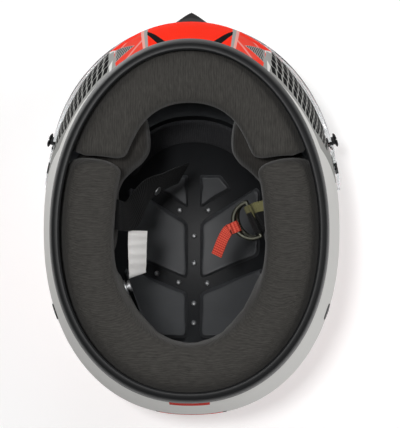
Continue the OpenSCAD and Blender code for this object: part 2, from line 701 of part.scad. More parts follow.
// Domed screw with a slot, through the seat and the shell into the nut
screw_dome = 2.4;
slot_width = 1.2;
module pivot_screw(side) {
    head = visor_outside + 0.25;
    tip = pivot_x - 11;
    color("#121214")
        on_side(side)
            translate(pivot)
                difference() {
                    turned([[0, tip], [screw_shank, tip], [screw_shank, head], [screw_head, head],
                        [screw_head, head + 0.8], [screw_head * 0.86, head + screw_dome * 0.66],
                        [screw_head * 0.55, head + screw_dome * 0.92], [0, head + screw_dome]]);
                    translate([head + screw_dome - 0.9, -slot_width / 2, -screw_head])
                        cube([4, slot_width, 2 * screw_head]);
                }
}

// Flanged nut inside the shell, let into the foam
nut_radius = 7;
nut_flange = 1.6;
nut_collar = 5;
nut_face = half_width(pivot_y - nut_radius, pivot_level + nut_radius, shell_wall) - soft_gap;
module pivot_nut(side) {
    color("silver")
        on_side(side)
            translate(pivot)
                difference() {
                    union() {
                        rod(nut_face - nut_flange, nut_face, nut_radius);
                        rod(nut_face - nut_flange - nut_collar, nut_face - nut_flange + 0.5, screw_shank + 1.4);
                    }
                    rod(nut_face - cutter_in, nut_face + 1, screw_shank + running_fit);
                }
}

// Spool-shaped post that tear-off films hook onto, with a slotted head and a thin inner head
post_shank = 2;
post_inner_radius = 4.2;
module tear_off_post(side) {
    back = -visor_thickness - flat_fit;
    neck = post_height - 2;
    color("#131315")
        on_side(side)
            aim(post_place, post_way)
                difference() {
                    turned([[0, back - 0.8], [post_inner_radius, back - 0.8], [post_inner_radius, back],
                        [post_shank, back], [post_shank, flat_fit], [post_radius, flat_fit], [post_radius, 1.1],
                        [post_waist, 1.9], [post_waist, neck], [post_radius - 0.3, neck + 0.8],
                        [post_radius - 0.3, post_height - 0.6], [post_radius - 1.2, post_height],
                        [0, post_height]]);
                    translate([post_height - 0.9, -slot_width / 2, -post_radius])
                        cube([4, slot_width, 2 * post_radius]);
                }
}

// Tapped steel anchor for a head restraint's post, flanged on both sides of the shell
module restraint_anchor(side) {
    inner = -shell_wall - 0.6;
    seat = fixed_fit - flange_recess;
    color("#101012")
        on_side(side)
            aim(anchor_place, anchor_way)
                difference() {
                    turned([[0, -anchor_depth - 1.5], [anchor_barrel, -anchor_depth - 1.5],
                        [anchor_barrel, inner - 1.4], [anchor_flange + 1, inner - 1.4],
                        [anchor_flange + 1, inner], [anchor_barrel, inner], [anchor_barrel, seat],
                        [anchor_flange, seat], [anchor_flange, 0.6], [anchor_flange - 0.8, 0.9], [0, 0.9]]);
                    rod(0.9 - anchor_depth, 4, anchor_bore);
                }
}

// Steel plate that spreads the strap's load on the shell, and the rivet through both
plate_inset = shell_wall + 0.35;
plate_thickness = 1.4;
strap_inset = plate_inset + plate_thickness + seat_relief + strap_thickness / 2;
module strap_plate(side) {
    levels = [rivet_level - 15, rivet_level, rivet_level + 13];
    function face(inset) = [for (z = levels) [for (k = [-2:2]) spot(rivet_angle + 2.4 * k, z, inset)]];
    color("silver")
        on_side(side)
            difference() {
                slab(face(plate_inset), face(plate_inset + plate_thickness));
                aim(rivet_place, rivet_way) rod(-cutter_in, cutter_out, rivet_shank + fixed_fit);
            }
}
module strap_rivet(side) {
    inner = -strap_inset - strap_thickness / 2 - 0.2;
    seat = fixed_fit - rivet_recess;
    color("whitesmoke")
        on_side(side)
            aim(rivet_place, rivet_way)
                turned([[0, inner - 1], [rivet_head - 1, inner - 1], [rivet_head - 1, inner],
                    [rivet_shank, inner], [rivet_shank, seat], [rivet_head, seat], [rivet_head, -0.15],
                    [0, -0.15]]);
}

// Webbing of the chin strap: down the shell's inner face, in between the pads and up into the helmet.
// Each item is a place and the direction of the webbing's width there.
function strap_start(side) = [for (z = [rivet_level + 10, rivet_level - 4, 66, 50])
    let (p = spot(rivet_angle, z, strap_inset),
        across = spot(rivet_angle + 4, z, 0) - spot(rivet_angle - 4, z, 0))
    [side * p[0], p[1], p[2], side * across[0], across[1], 0]];
function strap_turn(side) = [
    [side * 104, -1, 39.4, 0, 1, 0], [side * 88, -1, 38, 0, 1, 0], [side * 70, -1, 38, 0, 1, 0]];

// Bar of the D-rings inside the strap's loop, turned about the upright axis
ring_place = [52.4, 3, 64];
ring_turn = 23.5;
ring_bars = ring_wire + 0.8;
bar_way = [sin(ring_turn), cos(ring_turn), 0];
bar_side = [cos(ring_turn), -sin(ring_turn), 0];
loop_radius = ring_wire / 2 + 0.3 + strap_thickness / 2;
function loop_item(out, z) =
    let (p = ring_place + bar_side * out) [p[0], p[1], z, bar_way[0], bar_way[1], 0];
strap_left_path = concat(
    curve(concat(strap_start(1), strap_turn(1),
        [loop_item(6.4, 41.2), loop_item(3.6, 47), loop_item(loop_radius, 55)]), 3),
    [for (k = [0:8]) loop_item(loop_radius * cos(22.5 * k), ring_place[2] + loop_radius * sin(22.5 * k))],
    [loop_item(-loop_radius, 59), loop_item(-2.6, 54.5), loop_item(0.2, 50.5), loop_item(1.3, 46.5)]);
module strap_left() {
    color("#141414")
        difference() {
            ribbon(strap_left_path, strap_width, strap_thickness);
            aim(rivet_place, rivet_way) rod(-14, 2, rivet_shank + fixed_fit);
        }
}
strap_right_path = curve(concat(strap_start(-1), strap_turn(-1), [
    [-60.5, -1, 40.5, 0, 1, 0], [-57, 0, 52, 0.1, 1, 0], [-50, -1, 73, 0.35, 0.93, 0],
    [-40, -18, 94, 0.3, 0.93, 0.2], [-29.5, -26, 111, 0, 0.9, 0.4], [-18, -32.5, 127, -0.2, 0.75, 0.6],
    [-8, -37, 139, -0.3, 0.5, 0.8]]), 3);
module strap_right() {
    color("#141414")
        difference() {
            ribbon(strap_right_path, strap_width, strap_thickness);
            mirror([1, 0, 0]) aim(rivet_place, rivet_way) rod(-14, 2, rivet_shank + fixed_fit);
        }
}

// Steel press stud on the long strap, and one on the neck roll's inner wall
snap_item = 3 * 11;
module press_stud(radius) {
    turned([[0, 0.3], [radius, 0.3], [radius, 1.3], [radius * 0.55, 1.6], [radius * 0.55, 3],
        [radius * 0.8, 3.2], [radius * 0.8, 5], [0, 5.4]]);
}
module strap_snap() {
    across = ribbon_across(strap_right_path, snap_item);
    face = -ribbon_face(strap_right_path, snap_item);
    color("silver")
        aim(place_of(strap_right_path[snap_item]) + across * 5 + face * strap_thickness / 2, face)
            turned([[0, 1], [4, 1], [4, 1.7], [2.8, 2.4], [0, 2.6]]);
}
neck_snap_angle = -(180 - 48.5);
module neck_snap() {
    z = 34;
    function wall(a) = at(a, neck_edge(a, z), z);
    along = unit(wall(neck_snap_angle + 2) - wall(neck_snap_angle - 2));
    color("silver") aim(wall(neck_snap_angle), [-along[1], along[0], 0]) press_stud(6);
}

// Care label sewn under the long strap's edge and hanging free below it
label_path = curve([[-44.3, strap_width / 2 - 0.3, 69.7, 1, 0, 0], [-45, 24, 76, 0.97, 0, 0.2],
    [-45.3, 38, 84, 0.9, 0, 0.4], [-45.7, 51, 93, 0.8, 0, 0.6]], 3);
label_width = 16;
label_thickness = 0.7;
module care_label() {
    color("white") ribbon(label_path, label_width, label_thickness);
}

// D-ring: straight bar along Y at its origin, and a round bow on the -X side
ring_half = (ring_window + ring_wire) / 2;
ring_leg = 2;
module ring_shape() {
    wire = ring_wire / 2;
    rotate([90, 0, 0]) cylinder(h = 2 * ring_half, r = wire, center = true, $fn = 32);
    translate([-ring_leg, 0, 0])
        rotate([0, 0, 90])
            rotate_extrude(angle = 180, $fn = 64) translate([ring_half, 0]) circle(r = wire, $fn = 24);
    for (side = [-1, 1]) translate([0, side * ring_half, 0]) {
        sphere(r = wire, $fn = 24);
        rotate([0, -90, 0]) cylinder(h = ring_leg, r = wire, $fn = 24);
    }
}
// Places a part drawn beside a D-ring's bar at the bar, turned with the strap and lifted by an angle
module at_ring(drop, lift) {
    translate(ring_place - [0, 0, drop]) rotate([0, 0, -ring_turn]) rotate([0, lift, 0]) children();
}
upper_lift = 42;
lower_lift = 14;
module d_ring_upper() { color("dimgray") at_ring(0, upper_lift) ring_shape(); }
module d_ring_lower() { color("dimgray") at_ring(ring_bars, lower_lift) ring_shape(); }

// Red ribbed tab looped round the lower ring's bow
pull_thickness = 1;
pull_sag = (ring_half - sqrt(ring_half * ring_half - pull_width * pull_width / 4)) / 2;
pull_loop = ring_wire / 2 + pull_sag + 0.3 + pull_thickness / 2;
pull_centre = pull_sag - ring_leg - ring_half;
pull_path = concat(
    [[pull_centre - 7.5, 0, 0.75, 0, 1, 0], [pull_centre - 5, 0, 0.9, 0, 1, 0]],
    [for (k = [0:10]) let (t = 155 - 31 * k)
        [pull_centre + pull_loop * cos(t), 0, pull_loop * sin(t), 0, 1, 0]],
    curve([[pull_centre - 5, 0, -0.9, 0, 1, 0], [pull_centre - 8, 0.8, -0.7, 0.1, 1, 0],
        [pull_centre - 13, 5, -0.3, 0.45, 0.9, 0], [pull_centre - 18, 11.5, 1.5, 0.65, 0.76, 0],
        [pull_centre - 22.5, 19, 4, 0.75, 0.66, 0]], 3));
module pull_tab() {
    color("#c63026") at_ring(ring_bars, lower_lift) ribbon(pull_path, pull_width, pull_thickness);
}

outer_shell();
base_trim();
port_gasket();
impact_liner();
chin_foam_block();
front_pad();
neck_roll();
cheek_pad(1);  // cheek_pad_left
cheek_pad(-1);  // cheek_pad_right
brow_pad();
panel_front(1);  // panel_front_left
panel_front(-1);  // panel_front_right
panel_mid(1);  // panel_mid_left
panel_mid(-1);  // panel_mid_right
panel_rear(1);  // panel_rear_left
panel_rear(-1);  // panel_rear_right
stud(0);  // stud_spine_1
stud(1);  // stud_spine_2
stud(2);  // stud_spine_3
stud(3);  // stud_spine_4
stud(4);  // stud_front_left
stud(5);  // stud_front_right
stud(6);  // stud_rear_left
stud(7);  // stud_rear_right
stud(8);  // stud_rear_outer
visor();
visor_lift_tab();
pivot_seat(1);  // pivot_seat_left
pivot_seat(-1);  // pivot_seat_right
pivot_screw(1);  // pivot_screw_left
pivot_screw(-1);  // pivot_screw_right
pivot_nut(1);  // pivot_nut_left
pivot_nut(-1);  // pivot_nut_right
tear_off_post(1);  // tear_off_post_left
tear_off_post(-1);  // tear_off_post_right
restraint_anchor(1);  // restraint_anchor_left
restraint_anchor(-1);  // restraint_anchor_right
strap_left();
strap_right();
strap_plate(1);  // strap_plate_left
strap_plate(-1);  // strap_plate_right
strap_rivet(1);  // strap_rivet_left
strap_rivet(-1);  // strap_rivet_right
strap_snap();
neck_snap();
care_label();
d_ring_upper();
d_ring_lower();
pull_tab();
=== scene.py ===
# %% [markdown]
# # A car racing helmet, seen from below
# The helmet is already built as exact solids. This lesson dresses that frame: it makes the painted
# shell, the padded fabric, the webbing and the clear visor, gives every piece a material, and lights
# it as it is photographed, from below into its neck opening.

# %% Load the frame
import math

import bmesh
import bpy
from mathutils import Matrix, Vector


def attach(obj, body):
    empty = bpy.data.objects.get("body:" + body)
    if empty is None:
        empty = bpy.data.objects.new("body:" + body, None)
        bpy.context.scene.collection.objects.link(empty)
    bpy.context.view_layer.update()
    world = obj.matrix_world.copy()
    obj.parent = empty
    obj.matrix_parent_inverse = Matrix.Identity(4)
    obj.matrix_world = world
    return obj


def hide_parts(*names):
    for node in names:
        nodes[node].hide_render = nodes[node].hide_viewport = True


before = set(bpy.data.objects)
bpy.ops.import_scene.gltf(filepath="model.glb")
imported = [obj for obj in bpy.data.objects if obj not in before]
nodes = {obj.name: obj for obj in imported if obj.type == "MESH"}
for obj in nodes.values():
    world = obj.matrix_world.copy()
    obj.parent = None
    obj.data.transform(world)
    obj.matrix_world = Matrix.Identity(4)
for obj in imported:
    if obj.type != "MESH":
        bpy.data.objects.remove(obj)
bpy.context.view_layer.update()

MM = 0.001

# %% [markdown]
# ## The shell's form
# The shell is one smooth form: at each height it is a rounded oval, fuller at the back than at the
# front. It could be sculpted or read off the solids' facets, but all layers of the helmet follow the
# same form at different depths, so it is written here once as a function of angle, height and inset.
# Angles run from the front towards the wearer's left, and lengths are in millimetres.

# %% The shell's form
CROWN, DOME_FULLNESS = 262, 2.15
SIDE, FRONT, REAR = 128, 170.5, 161
RIM_SIDE, RIM_FRONT, RIM_REAR = 109, 149.5, 134.5
SIDE_LEVEL, FRONT_LEVEL, REAR_LEVEL = 145, 100, 150
CHIN_SWELL, CHIN_LEVEL, CHIN_SPAN = 6.5, 55, 45
SHELL_WALL, FOAM_GAP, FOAM_WALL = 4, 1.2, 29
FOAM_OUT = SHELL_WALL + FOAM_GAP
FOAM_IN = FOAM_OUT + FOAM_WALL


def rise(t):
    """Smooth step from 0 to 1."""
    t = min(max(t, 0), 1)
    return t * t * (3 - 2 * t)


def mix(a, b, t):
    return a + (b - a) * t


def reach_at(z, low, wide, level, inset):
    """Reach at a height: drawn in to a low value at the rim, widest at a level, then a dome."""
    if z < level:
        return wide - inset - (wide - low) * ((level - z) / level) ** 2
    share = min(1, (z - level) / (CROWN - inset - level))
    return (wide - inset) * math.sqrt(max(0, 1 - share ** DOME_FULLNESS))


def swell(z):
    """How far the chin bar stands out of the oval."""
    t = (z - CHIN_LEVEL) / CHIN_SPAN
    return CHIN_SWELL * (1 - t * t) ** 2 if abs(t) < 1 else 0


def half_sizes(ahead, z, inset):
    """Half width, end reach and fullness of the oval at a height."""
    side = reach_at(z, RIM_SIDE, SIDE, SIDE_LEVEL, inset)
    if ahead:
        end = reach_at(z, RIM_FRONT, FRONT, FRONT_LEVEL, inset) + swell(z)
        return side, end, 2 + 0.15 * min(1, z / 75)
    return side, reach_at(z, RIM_REAR, REAR, REAR_LEVEL, inset), 2.15 + 0.1 * min(1, z / 150)


def reach(a, z, inset=0):
    """Distance from the crown's axis to the shell, or to a layer in it, at an angle and height."""
    side, end, n = half_sizes(abs(a) < 90, z, inset)
    if side <= 0 or end <= 0:
        return 0
    turn = math.radians(a)
    return 1 / ((abs(math.sin(turn)) / side) ** n + (abs(math.cos(turn)) / end) ** n) ** (1 / n)


# The whole helmet is centred on the frame, from its back to the tip of the visor's lift tab.
VISOR_GAP, VISOR_WALL, VISOR_LOW = 2.2, 2.6, 94
TAB_RISE, TAB_REACH, SEAL_FIT = 4.5, 9.4, 0.45
tab_tip = half_sizes(True, VISOR_LOW + TAB_RISE, -VISOR_GAP - VISOR_WALL)[1] + SEAL_FIT + TAB_REACH
AXIS_Y = (tab_tip - REAR) / 2


def at(a, r, z):
    turn = math.radians(a)
    return Vector((r * math.sin(turn), AXIS_Y - r * math.cos(turn), z))


def spot(a, z, inset=0):
    """Place on the shell, or on a layer in it, in millimetres."""
    return at(a, reach(a, z, inset), z)


print("crown axis at y = %.2f mm" % AXIS_Y)

# %% [markdown]
# ## A grid that is wrapped into a form
# Most pieces here are skins: the shell, the visor, a pad, a strap. Each could be extruded ring by
# ring. A plain grid from `bmesh.ops.create_grid` is quicker to read: its two directions run round
# and up the piece, each corner is moved to its place by that piece's own function, and the seam
# where the ends meet is merged. The grid also leaves a UV map, as long and as wide as the piece, for
# woven patterns.

# %% Wrapped grid and finished piece
def wrapped_grid(columns, rows, place, hole=None, size=(1, 1)):
    """Grid whose corners, at shares from 0 to 1 along and across it, are moved by a function."""
    grid = bmesh.new()
    bmesh.ops.create_grid(grid, x_segments=columns, y_segments=rows, size=0.5)
    if hole:
        middles = [(f, f.calc_center_median()) for f in grid.faces]
        cut = [f for f, middle in middles if hole(middle.x + 0.5, middle.y + 0.5)]
        bmesh.ops.delete(grid, geom=cut, context="FACES")
    lengths = grid.loops.layers.uv.new("lengths")
    for face in grid.faces:
        for loop in face.loops:
            loop[lengths].uv = ((loop.vert.co.x + 0.5) * size[0], (loop.vert.co.y + 0.5) * size[1])
    for vert in grid.verts:
        vert.co = Vector(place(vert.co.x + 0.5, vert.co.y + 0.5)) * MM
    bmesh.ops.remove_doubles(grid, verts=grid.verts, dist=0.00001)
    bmesh.ops.recalc_face_normals(grid, faces=grid.faces)
    return grid


def in_scene(name, data):
    """New object with this data, linked to the scene."""
    made = bpy.data.objects.new(name, data)
    bpy.context.scene.collection.objects.link(made)
    return made


def mesh_object(name, solid):
    """New object in the scene whose mesh is a finished bmesh."""
    mesh = bpy.data.meshes.new(name)
    solid.to_mesh(mesh)
    solid.free()
    return in_scene(name, mesh)


def piece(name, grid, body, finish, stands_for=(), sharp=None):
    """Makes an object of a bmesh that rides on a body and may stand for plain solids."""
    made = mesh_object(name, grid)
    made.data.shade_smooth()
    if sharp:
        made.data.set_sharp_from_angle(angle=math.radians(sharp))
    made.data.materials.append(finish)
    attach(made, body)
    if stands_for:
        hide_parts(*stands_for)
    return made


def modify(made, kind, **settings):
    """Adds one modifier and applies it, so that the mesh is final."""
    step = made.modifiers.new(kind.title(), kind)
    for key, value in settings.items():
        setattr(step, key, value)
    bpy.context.view_layer.objects.active = made
    bpy.ops.object.modifier_apply(modifier=step.name)
    return made


def turned(profile, steps=48):
    """Spins a profile of (radius, height) corners round Z into a closed solid, in millimetres."""
    solid = bmesh.new()
    corners = [solid.verts.new((r * MM, 0, z * MM)) for r, z in profile]
    edges = [solid.edges.new(pair) for pair in zip(corners, corners[1:])]
    bmesh.ops.spin(solid, geom=corners + edges, cent=(0, 0, 0), axis=(0, 0, 1), angle=2 * math.pi,
                   steps=steps, use_merge=True, use_duplicate=False)
    bmesh.ops.remove_doubles(solid, verts=solid.verts, dist=0.000001)
    bmesh.ops.recalc_face_normals(solid, faces=solid.faces)
    return solid


def aim(solid, place, way):
    """Turns a solid's Z to a direction and moves it to a place in millimetres."""
    turn = Vector(way).to_track_quat("Z", "Y").to_matrix().to_4x4()
    bmesh.ops.transform(solid, matrix=turn, verts=solid.verts)
    bmesh.ops.translate(solid, vec=Vector(place) * MM, verts=solid.verts)
    return solid


print("helpers ready")

# %% [markdown]
# ## Finishes
# A finish is a small tree of nodes. Colours are picked as sRGB hex values, as a paint chart gives
# them, and turned to the linear values that the shader needs. One function adds a node with its
# settings and inputs, and every finish below is made with it.

# %% Colour and node helpers
MATH, MIX, NOISE = "ShaderNodeMath", "ShaderNodeMix", "ShaderNodeTexNoise"
RANGE, BUMP, SPLIT = "ShaderNodeMapRange", "ShaderNodeBump", "ShaderNodeSeparateXYZ"


def paint(code):
    """Linear colour of an sRGB hex value."""
    values = [int(code[i:i + 2], 16) / 255 for i in (0, 2, 4)]
    return tuple(v / 12.92 if v <= 0.04045 else ((v + 0.055) / 1.055) ** 2.4 for v in values) + (1,)


def connect(tree, node, inputs):
    """Sets inputs, by name or number, to values, sockets or other nodes. A list goes by number."""
    for key, value in inputs.items() if isinstance(inputs, dict) else enumerate(inputs):
        if isinstance(value, bpy.types.Node):
            value = value.outputs[2 if value.bl_idname == MIX else 0]
        if isinstance(value, bpy.types.NodeSocket):
            tree.links.new(value, node.inputs[key])
        else:
            node.inputs[key].default_value = value


def add(tree, kind, inputs, **settings):
    """Adds a node with its settings and inputs."""
    made = tree.nodes.new(kind)
    for key, value in settings.items():
        setattr(made, key, value)
    connect(tree, made, inputs)
    return made


def empty_tree(owner):
    """Cleared node tree of a new material or world."""
    owner.use_nodes = True
    owner.node_tree.nodes.clear()
    return owner.node_tree


def finish(name, **sockets):
    """New material whose shader has these sockets. Returns the material, its tree and its shader."""
    made = bpy.data.materials.new(name)
    tree = empty_tree(made)
    values = {key.replace("_", " "): value for key, value in sockets.items()}
    shader = add(tree, "ShaderNodeBsdfPrincipled", values)
    add(tree, "ShaderNodeOutputMaterial", {"Surface": shader})
    return made, tree, shader


def place_of(tree):
    """Object coordinates in millimetres, as one vector."""
    here = add(tree, "ShaderNodeTexCoord", {}).outputs["Object"]
    return add(tree, "ShaderNodeVectorMath", {0: here, "Scale": 1 / MM}, operation="SCALE")


def moulded(name, dark, light, cloud, grain, depth, detail=2, **sockets):
    """Moulded skin: two shades in clouds of one size, and a finer grain raised by a depth, all in mm."""
    made, tree, shader = finish(name, **sockets)
    place = place_of(tree)
    clouds = add(tree, NOISE, {"Vector": place, "Scale": 1 / cloud})
    grains = add(tree, NOISE, {"Vector": place, "Scale": 1 / grain, "Detail": detail})
    connect(tree, shader, {
        "Base Color": add(tree, MIX, {0: clouds, 6: paint(dark), 7: paint(light)}, data_type="RGBA"),
        "Normal": add(tree, BUMP, {"Height": grains, "Distance": depth * MM})})
    return made


print("mid grey is", [round(c, 3) for c in paint("808080")])

# %% [markdown]
# ## The camera
# The helmet stands on its rim here, but it was photographed lying on its crown, from straight above
# the neck opening. So the camera is put far below the floor and looks up, with the front at the top
# of the picture. A long lens, worked out from how little the crown shrinks behind the rim, keeps the
# small tilt and the perspective of the photograph.

# %% Camera
SENSOR, FOCAL_LENGTH = 36, 157.7
CAMERA_AT, AIM = Vector((31, -1.3, -1500)) * MM, Vector((8.8, -1.3, 0)) * MM
lens = bpy.data.cameras.new("lens")
lens.sensor_fit, lens.sensor_height, lens.lens = "VERTICAL", SENSOR, FOCAL_LENGTH
camera = in_scene("camera", lens)
tilt = math.atan2(CAMERA_AT.x - AIM.x, AIM.z - CAMERA_AT.z)
camera.location, camera.rotation_euler = CAMERA_AT, (math.pi, -tilt, 0)
bpy.context.scene.camera = camera
print("camera tilted by %.2f degrees" % math.degrees(tilt))

# %% [markdown]
# ## The shell
# The shell is a laminate of fibre and resin, laid up in a mould, trimmed, drilled and lacquered. Its
# outer skin is a wrapped grid with the eye port's faces left out, close columns round the port's
# ends, and a wall from a Solidify modifier. The holes are cut with turned cutters afterwards, so
# that the grid stays simple. The lower edge of the port and its upper edge are two rows of the grid.

# %% The eye port and the shell's rows
PORT_ANGLE, PORT_LOW, PORT_HIGH, PORT_END, PORT_SQUARENESS = 52, 104, 181, 18, 6
TRIM_FLOOR = 2.6
LOWER_ROWS, PORT_ROWS, CROWN_ROWS = 28, 8, 40
SHELL_ROWS = LOWER_ROWS + PORT_ROWS + CROWN_ROWS
SHELL_COLUMNS = 240


def port_edge(a, edge, way):
    """Height of the port's lower (way -1) or upper (way 1) edge at an angle."""
    end = (PORT_LOW + PORT_HIGH + way * PORT_END) / 2
    return mix(edge, end, min(1, abs(a) / PORT_ANGLE) ** PORT_SQUARENESS)


def shell_angle(u):
    """A third of the columns goes to the port, close at its ends, and a third to each side."""
    third = u * 3
    if third < 1:
        return mix(-180, -PORT_ANGLE, third)
    if third < 2:
        return PORT_ANGLE * math.sin(math.pi / 2 * (2 * third - 3))
    return mix(PORT_ANGLE, 180, third - 2)


def crown_height(start, share, inset=0):
    """Height on the dome, with even steps along its curve."""
    span = CROWN - inset - SIDE_LEVEL
    first = math.asin((start - SIDE_LEVEL) / span)
    return SIDE_LEVEL + span * math.sin(mix(first, math.pi / 2, share))


def shell_place(u, v):
    a, row = shell_angle(u), v * SHELL_ROWS
    under, over = port_edge(a, PORT_LOW, -1), port_edge(a, PORT_HIGH, 1)
    if row <= LOWER_ROWS:
        z = mix(TRIM_FLOOR, under, row / LOWER_ROWS)
    elif row <= LOWER_ROWS + PORT_ROWS:
        z = mix(under, over, (row - LOWER_ROWS) / PORT_ROWS)
    else:
        z = crown_height(over, (row - LOWER_ROWS - PORT_ROWS) / CROWN_ROWS)
    return spot(a, z)


def in_port(u, v):
    return 1 < u * 3 < 2 and LOWER_ROWS < v * SHELL_ROWS < LOWER_ROWS + PORT_ROWS


print("port is %d mm high in the middle" % (PORT_HIGH - PORT_LOW))

# %% Places on the shell
PIVOT_AHEAD, PIVOT_LEVEL = 55, 163
pivot_y = AXIS_Y - PIVOT_AHEAD


def half_width(y, z, inset=0):
    """Half width of the shell, or of a layer in it, at a place seen from the side."""
    if z >= CROWN - inset:
        return 0
    side, end, n = half_sizes(y < AXIS_Y, z, inset)
    q = abs(y - AXIS_Y) / end if end > 0 else 1
    return side * (1 - q ** n) ** (1 / n) if q < 1 else 0


def outward(a, z):
    return (spot(a + 1, z) - spot(a - 1, z)).cross(spot(a, z + 1) - spot(a, z - 1)).normalized()


ANCHOR, RIVET = (121, 80), (84, 88)
pivot_x = half_width(pivot_y, PIVOT_LEVEL)
anchor_at, anchor_way = spot(*ANCHOR), outward(*ANCHOR)
rivet_at, rivet_way = spot(*RIVET), outward(*RIVET)
print("visor pivots %.1f mm from the middle" % pivot_x)

# %% Mirrored cutters
def both_sides(solid):
    """Adds a solid's mirror image on the helmet's other side."""
    twin = bmesh.ops.duplicate(solid, geom=solid.verts[:] + solid.edges[:] + solid.faces[:])["geom"]
    bmesh.ops.scale(solid, vec=(-1, 1, 1), verts=[v for v in twin if isinstance(v, bmesh.types.BMVert)])
    bmesh.ops.reverse_faces(solid, faces=[f for f in twin if isinstance(f, bmesh.types.BMFace)])
    return solid


def cut_away(made, *cutters):
    """Cuts turned cutters out of a piece."""
    mesh, whole = bpy.data.meshes.new("one_cutter"), bmesh.new()
    for cutter in cutters:
        cutter.to_mesh(mesh)
        whole.from_mesh(mesh)
        cutter.free()
    tool = mesh_object("cutters", whole)
    modify(made, "BOOLEAN", object=tool, operation="DIFFERENCE", solver="EXACT")
    bpy.data.objects.remove(tool)
    return made


def drill(place, way, *steps):
    """A stepped cutter. Each step is a radius and the depths it runs between, along the way out."""
    profile = [(0, steps[0][1])]
    for radius, low, high in steps:
        profile += [(radius, low), (radius, high)]
    profile.append((0, steps[-1][2]))
    return both_sides(aim(turned(profile), place, way))


print("cutters ready")

# %% [markdown]
# ## Lacquer and graphics
# The helmet is white lacquer with masked graphics: a red chin with silver wedges, black slashes and
# hatched triangles, a band of checks that runs back on each side, and stripes over the crown. They
# could be a picture wrapped over the shell. Here each patch is drawn from straight lines on a chart
# of angle and height, so that the edges stay sharp at any distance and no picture is needed.

# %% A chart of the shell for the graphics
# Length of one degree round the front of the shell, and the softness of a masked edge, in millimetres.
ARC, MASKED = 2.65, 0.4


def chart_of(tree):
    """Distance round the shell from the middle of the front, to either side, and height."""
    here = add(tree, SPLIT, [place_of(tree)])
    ahead = add(tree, MATH, [AXIS_Y, here.outputs["Y"]], operation="SUBTRACT")
    aside = add(tree, MATH, [here.outputs["X"]], operation="ABSOLUTE")
    turn = add(tree, MATH, [aside, ahead], operation="ARCTAN2")
    along = add(tree, MATH, [turn, math.degrees(ARC)], operation="MULTIPLY")
    return along, here.outputs["Z"], aside


def left_of(tree, chart, start, end):
    """How far a place lies to the left of a line between two corners, in millimetres."""
    (a, low), (b, high) = start, end
    run, climb = (b - a) * ARC, high - low
    size = math.hypot(run, climb)
    offset = (a * ARC * climb - low * run) / size
    lean = add(tree, MATH, [chart[0], -climb / size, offset], operation="MULTIPLY_ADD")
    return add(tree, MATH, [chart[1], run / size, lean], operation="MULTIPLY_ADD")


def patch(tree, chart, *corners):
    """Share of paint in a convex patch. Corners are angle and height, with the patch on their left."""
    inside = None
    for start, end in zip(corners, corners[1:] + corners[:1]):
        side = left_of(tree, chart, start, end)
        inside = side if inside is None else add(tree, MATH, [inside, side], operation="MINIMUM")
    return add(tree, RANGE, {"Value": inside, "From Min": -MASKED / 2, "From Max": MASKED / 2})


def spray(tree, chart, colour, *patches):
    """Sprays convex patches over the colours so far. Each is its shade and its corners."""
    for shade, *corners in patches:
        share = patch(tree, chart, *corners)
        colour = add(tree, MIX, {0: share, 6: colour, 7: shade}, data_type="RGBA")
    return colour


print("one degree is %.2f mm round the chin" % ARC)

# %% Stripes and checks for the graphics
CHECK_PITCH, CHECK_ROW = 6.6, 10.5


def stripes(tree, chart, lean, pitch, share, soft=0.12):
    """Stripes across the chart at a pitch in millimetres, moved along by a lean per millimetre up."""
    moved = add(tree, MATH, [chart[1], lean, chart[0]], operation="MULTIPLY_ADD")
    step = add(tree, MATH, [moved, pitch], operation="DIVIDE")
    part = add(tree, MATH, [step], operation="FRACT")
    middle = add(tree, MATH, [part, 0.5], operation="SUBTRACT")
    away = add(tree, MATH, [middle], operation="ABSOLUTE")
    inside = add(tree, MATH, [share / 2, away], operation="SUBTRACT")
    return add(tree, RANGE, {"Value": inside, "From Min": -soft / 2, "From Max": soft / 2})


def checks(tree, chart, low_line):
    """Rows of leaning blocks that follow a line, each row a little behind the one below it."""
    rise_over = left_of(tree, chart, *low_line)
    row = add(tree, MATH, [rise_over, CHECK_ROW], operation="DIVIDE")
    number = add(tree, MATH, [row], operation="FLOOR")
    back = add(tree, MATH, [number, -0.3 * CHECK_PITCH, chart[0]], operation="MULTIPLY_ADD")
    columns = stripes(tree, (back, rise_over), 0.42, CHECK_PITCH, 0.74, 0.06)
    part = add(tree, MATH, [row], operation="FRACT")
    blocks = add(tree, RANGE, {"Value": part, "From Min": 0.05, "From Max": 0.12})
    return add(tree, MATH, [columns, blocks], operation="MULTIPLY")


print("checks repeat every %.1f mm" % CHECK_PITCH)

# %% Lacquered laminate
# Matt base lacquer under a clear coat, which gives the real gloss, with a trace of orange peel. The
# coat is thin here: near the outline the sides are seen at a glancing angle, where more would mirror
# the white table over the black and red.
lacquer, tree, shader = finish("clear_coated_lacquer", Roughness=0.5, Specular_IOR_Level=0,
                               Coat_Weight=0.06, Coat_Roughness=0.05)
chart = chart_of(tree)
WHITE, SILVER = paint("E3E2DF"), paint("A0A09D")
RED, SHEENED_PINK, PALE = paint("FC2E16"), paint("DF584A"), paint("E8A59C")
BLACK = paint("0B0B0C")
BAND_LINE = ((26.3, 17.0), (50.3, 29.0))
# Beside the red chin, the pink clouds and pale leaning streaks over the red are painted sheen.
sheen_clouds = add(tree, NOISE, {"Vector": place_of(tree), "Scale": 1 / 9, "Detail": 1})
pink_and_sheen = add(tree, MIX, {0: sheen_clouds, 6: SHEENED_PINK, 7: RED}, data_type="RGBA")
streaks = stripes(tree, chart, 0.9, 26, 0.08, 0.1)
pink_and_sheen = add(tree, MIX, {0: streaks, 6: pink_and_sheen, 7: PALE}, data_type="RGBA")
colour = spray(
    tree, chart, WHITE,
    (pink_and_sheen, (-3, -5), (27.5, -5), (27.5, 12), (22.3, 46), (-3, 110)),
    (RED, (12, 46), (22.5, 45), (25.5, 70), (25.5, 110), (12, 110)),
    (SILVER, (25, 10), (58, 30), (72, 80), (72, 110), (25, 110), (24.4, 45)))
print("red field and silver ground laid out")

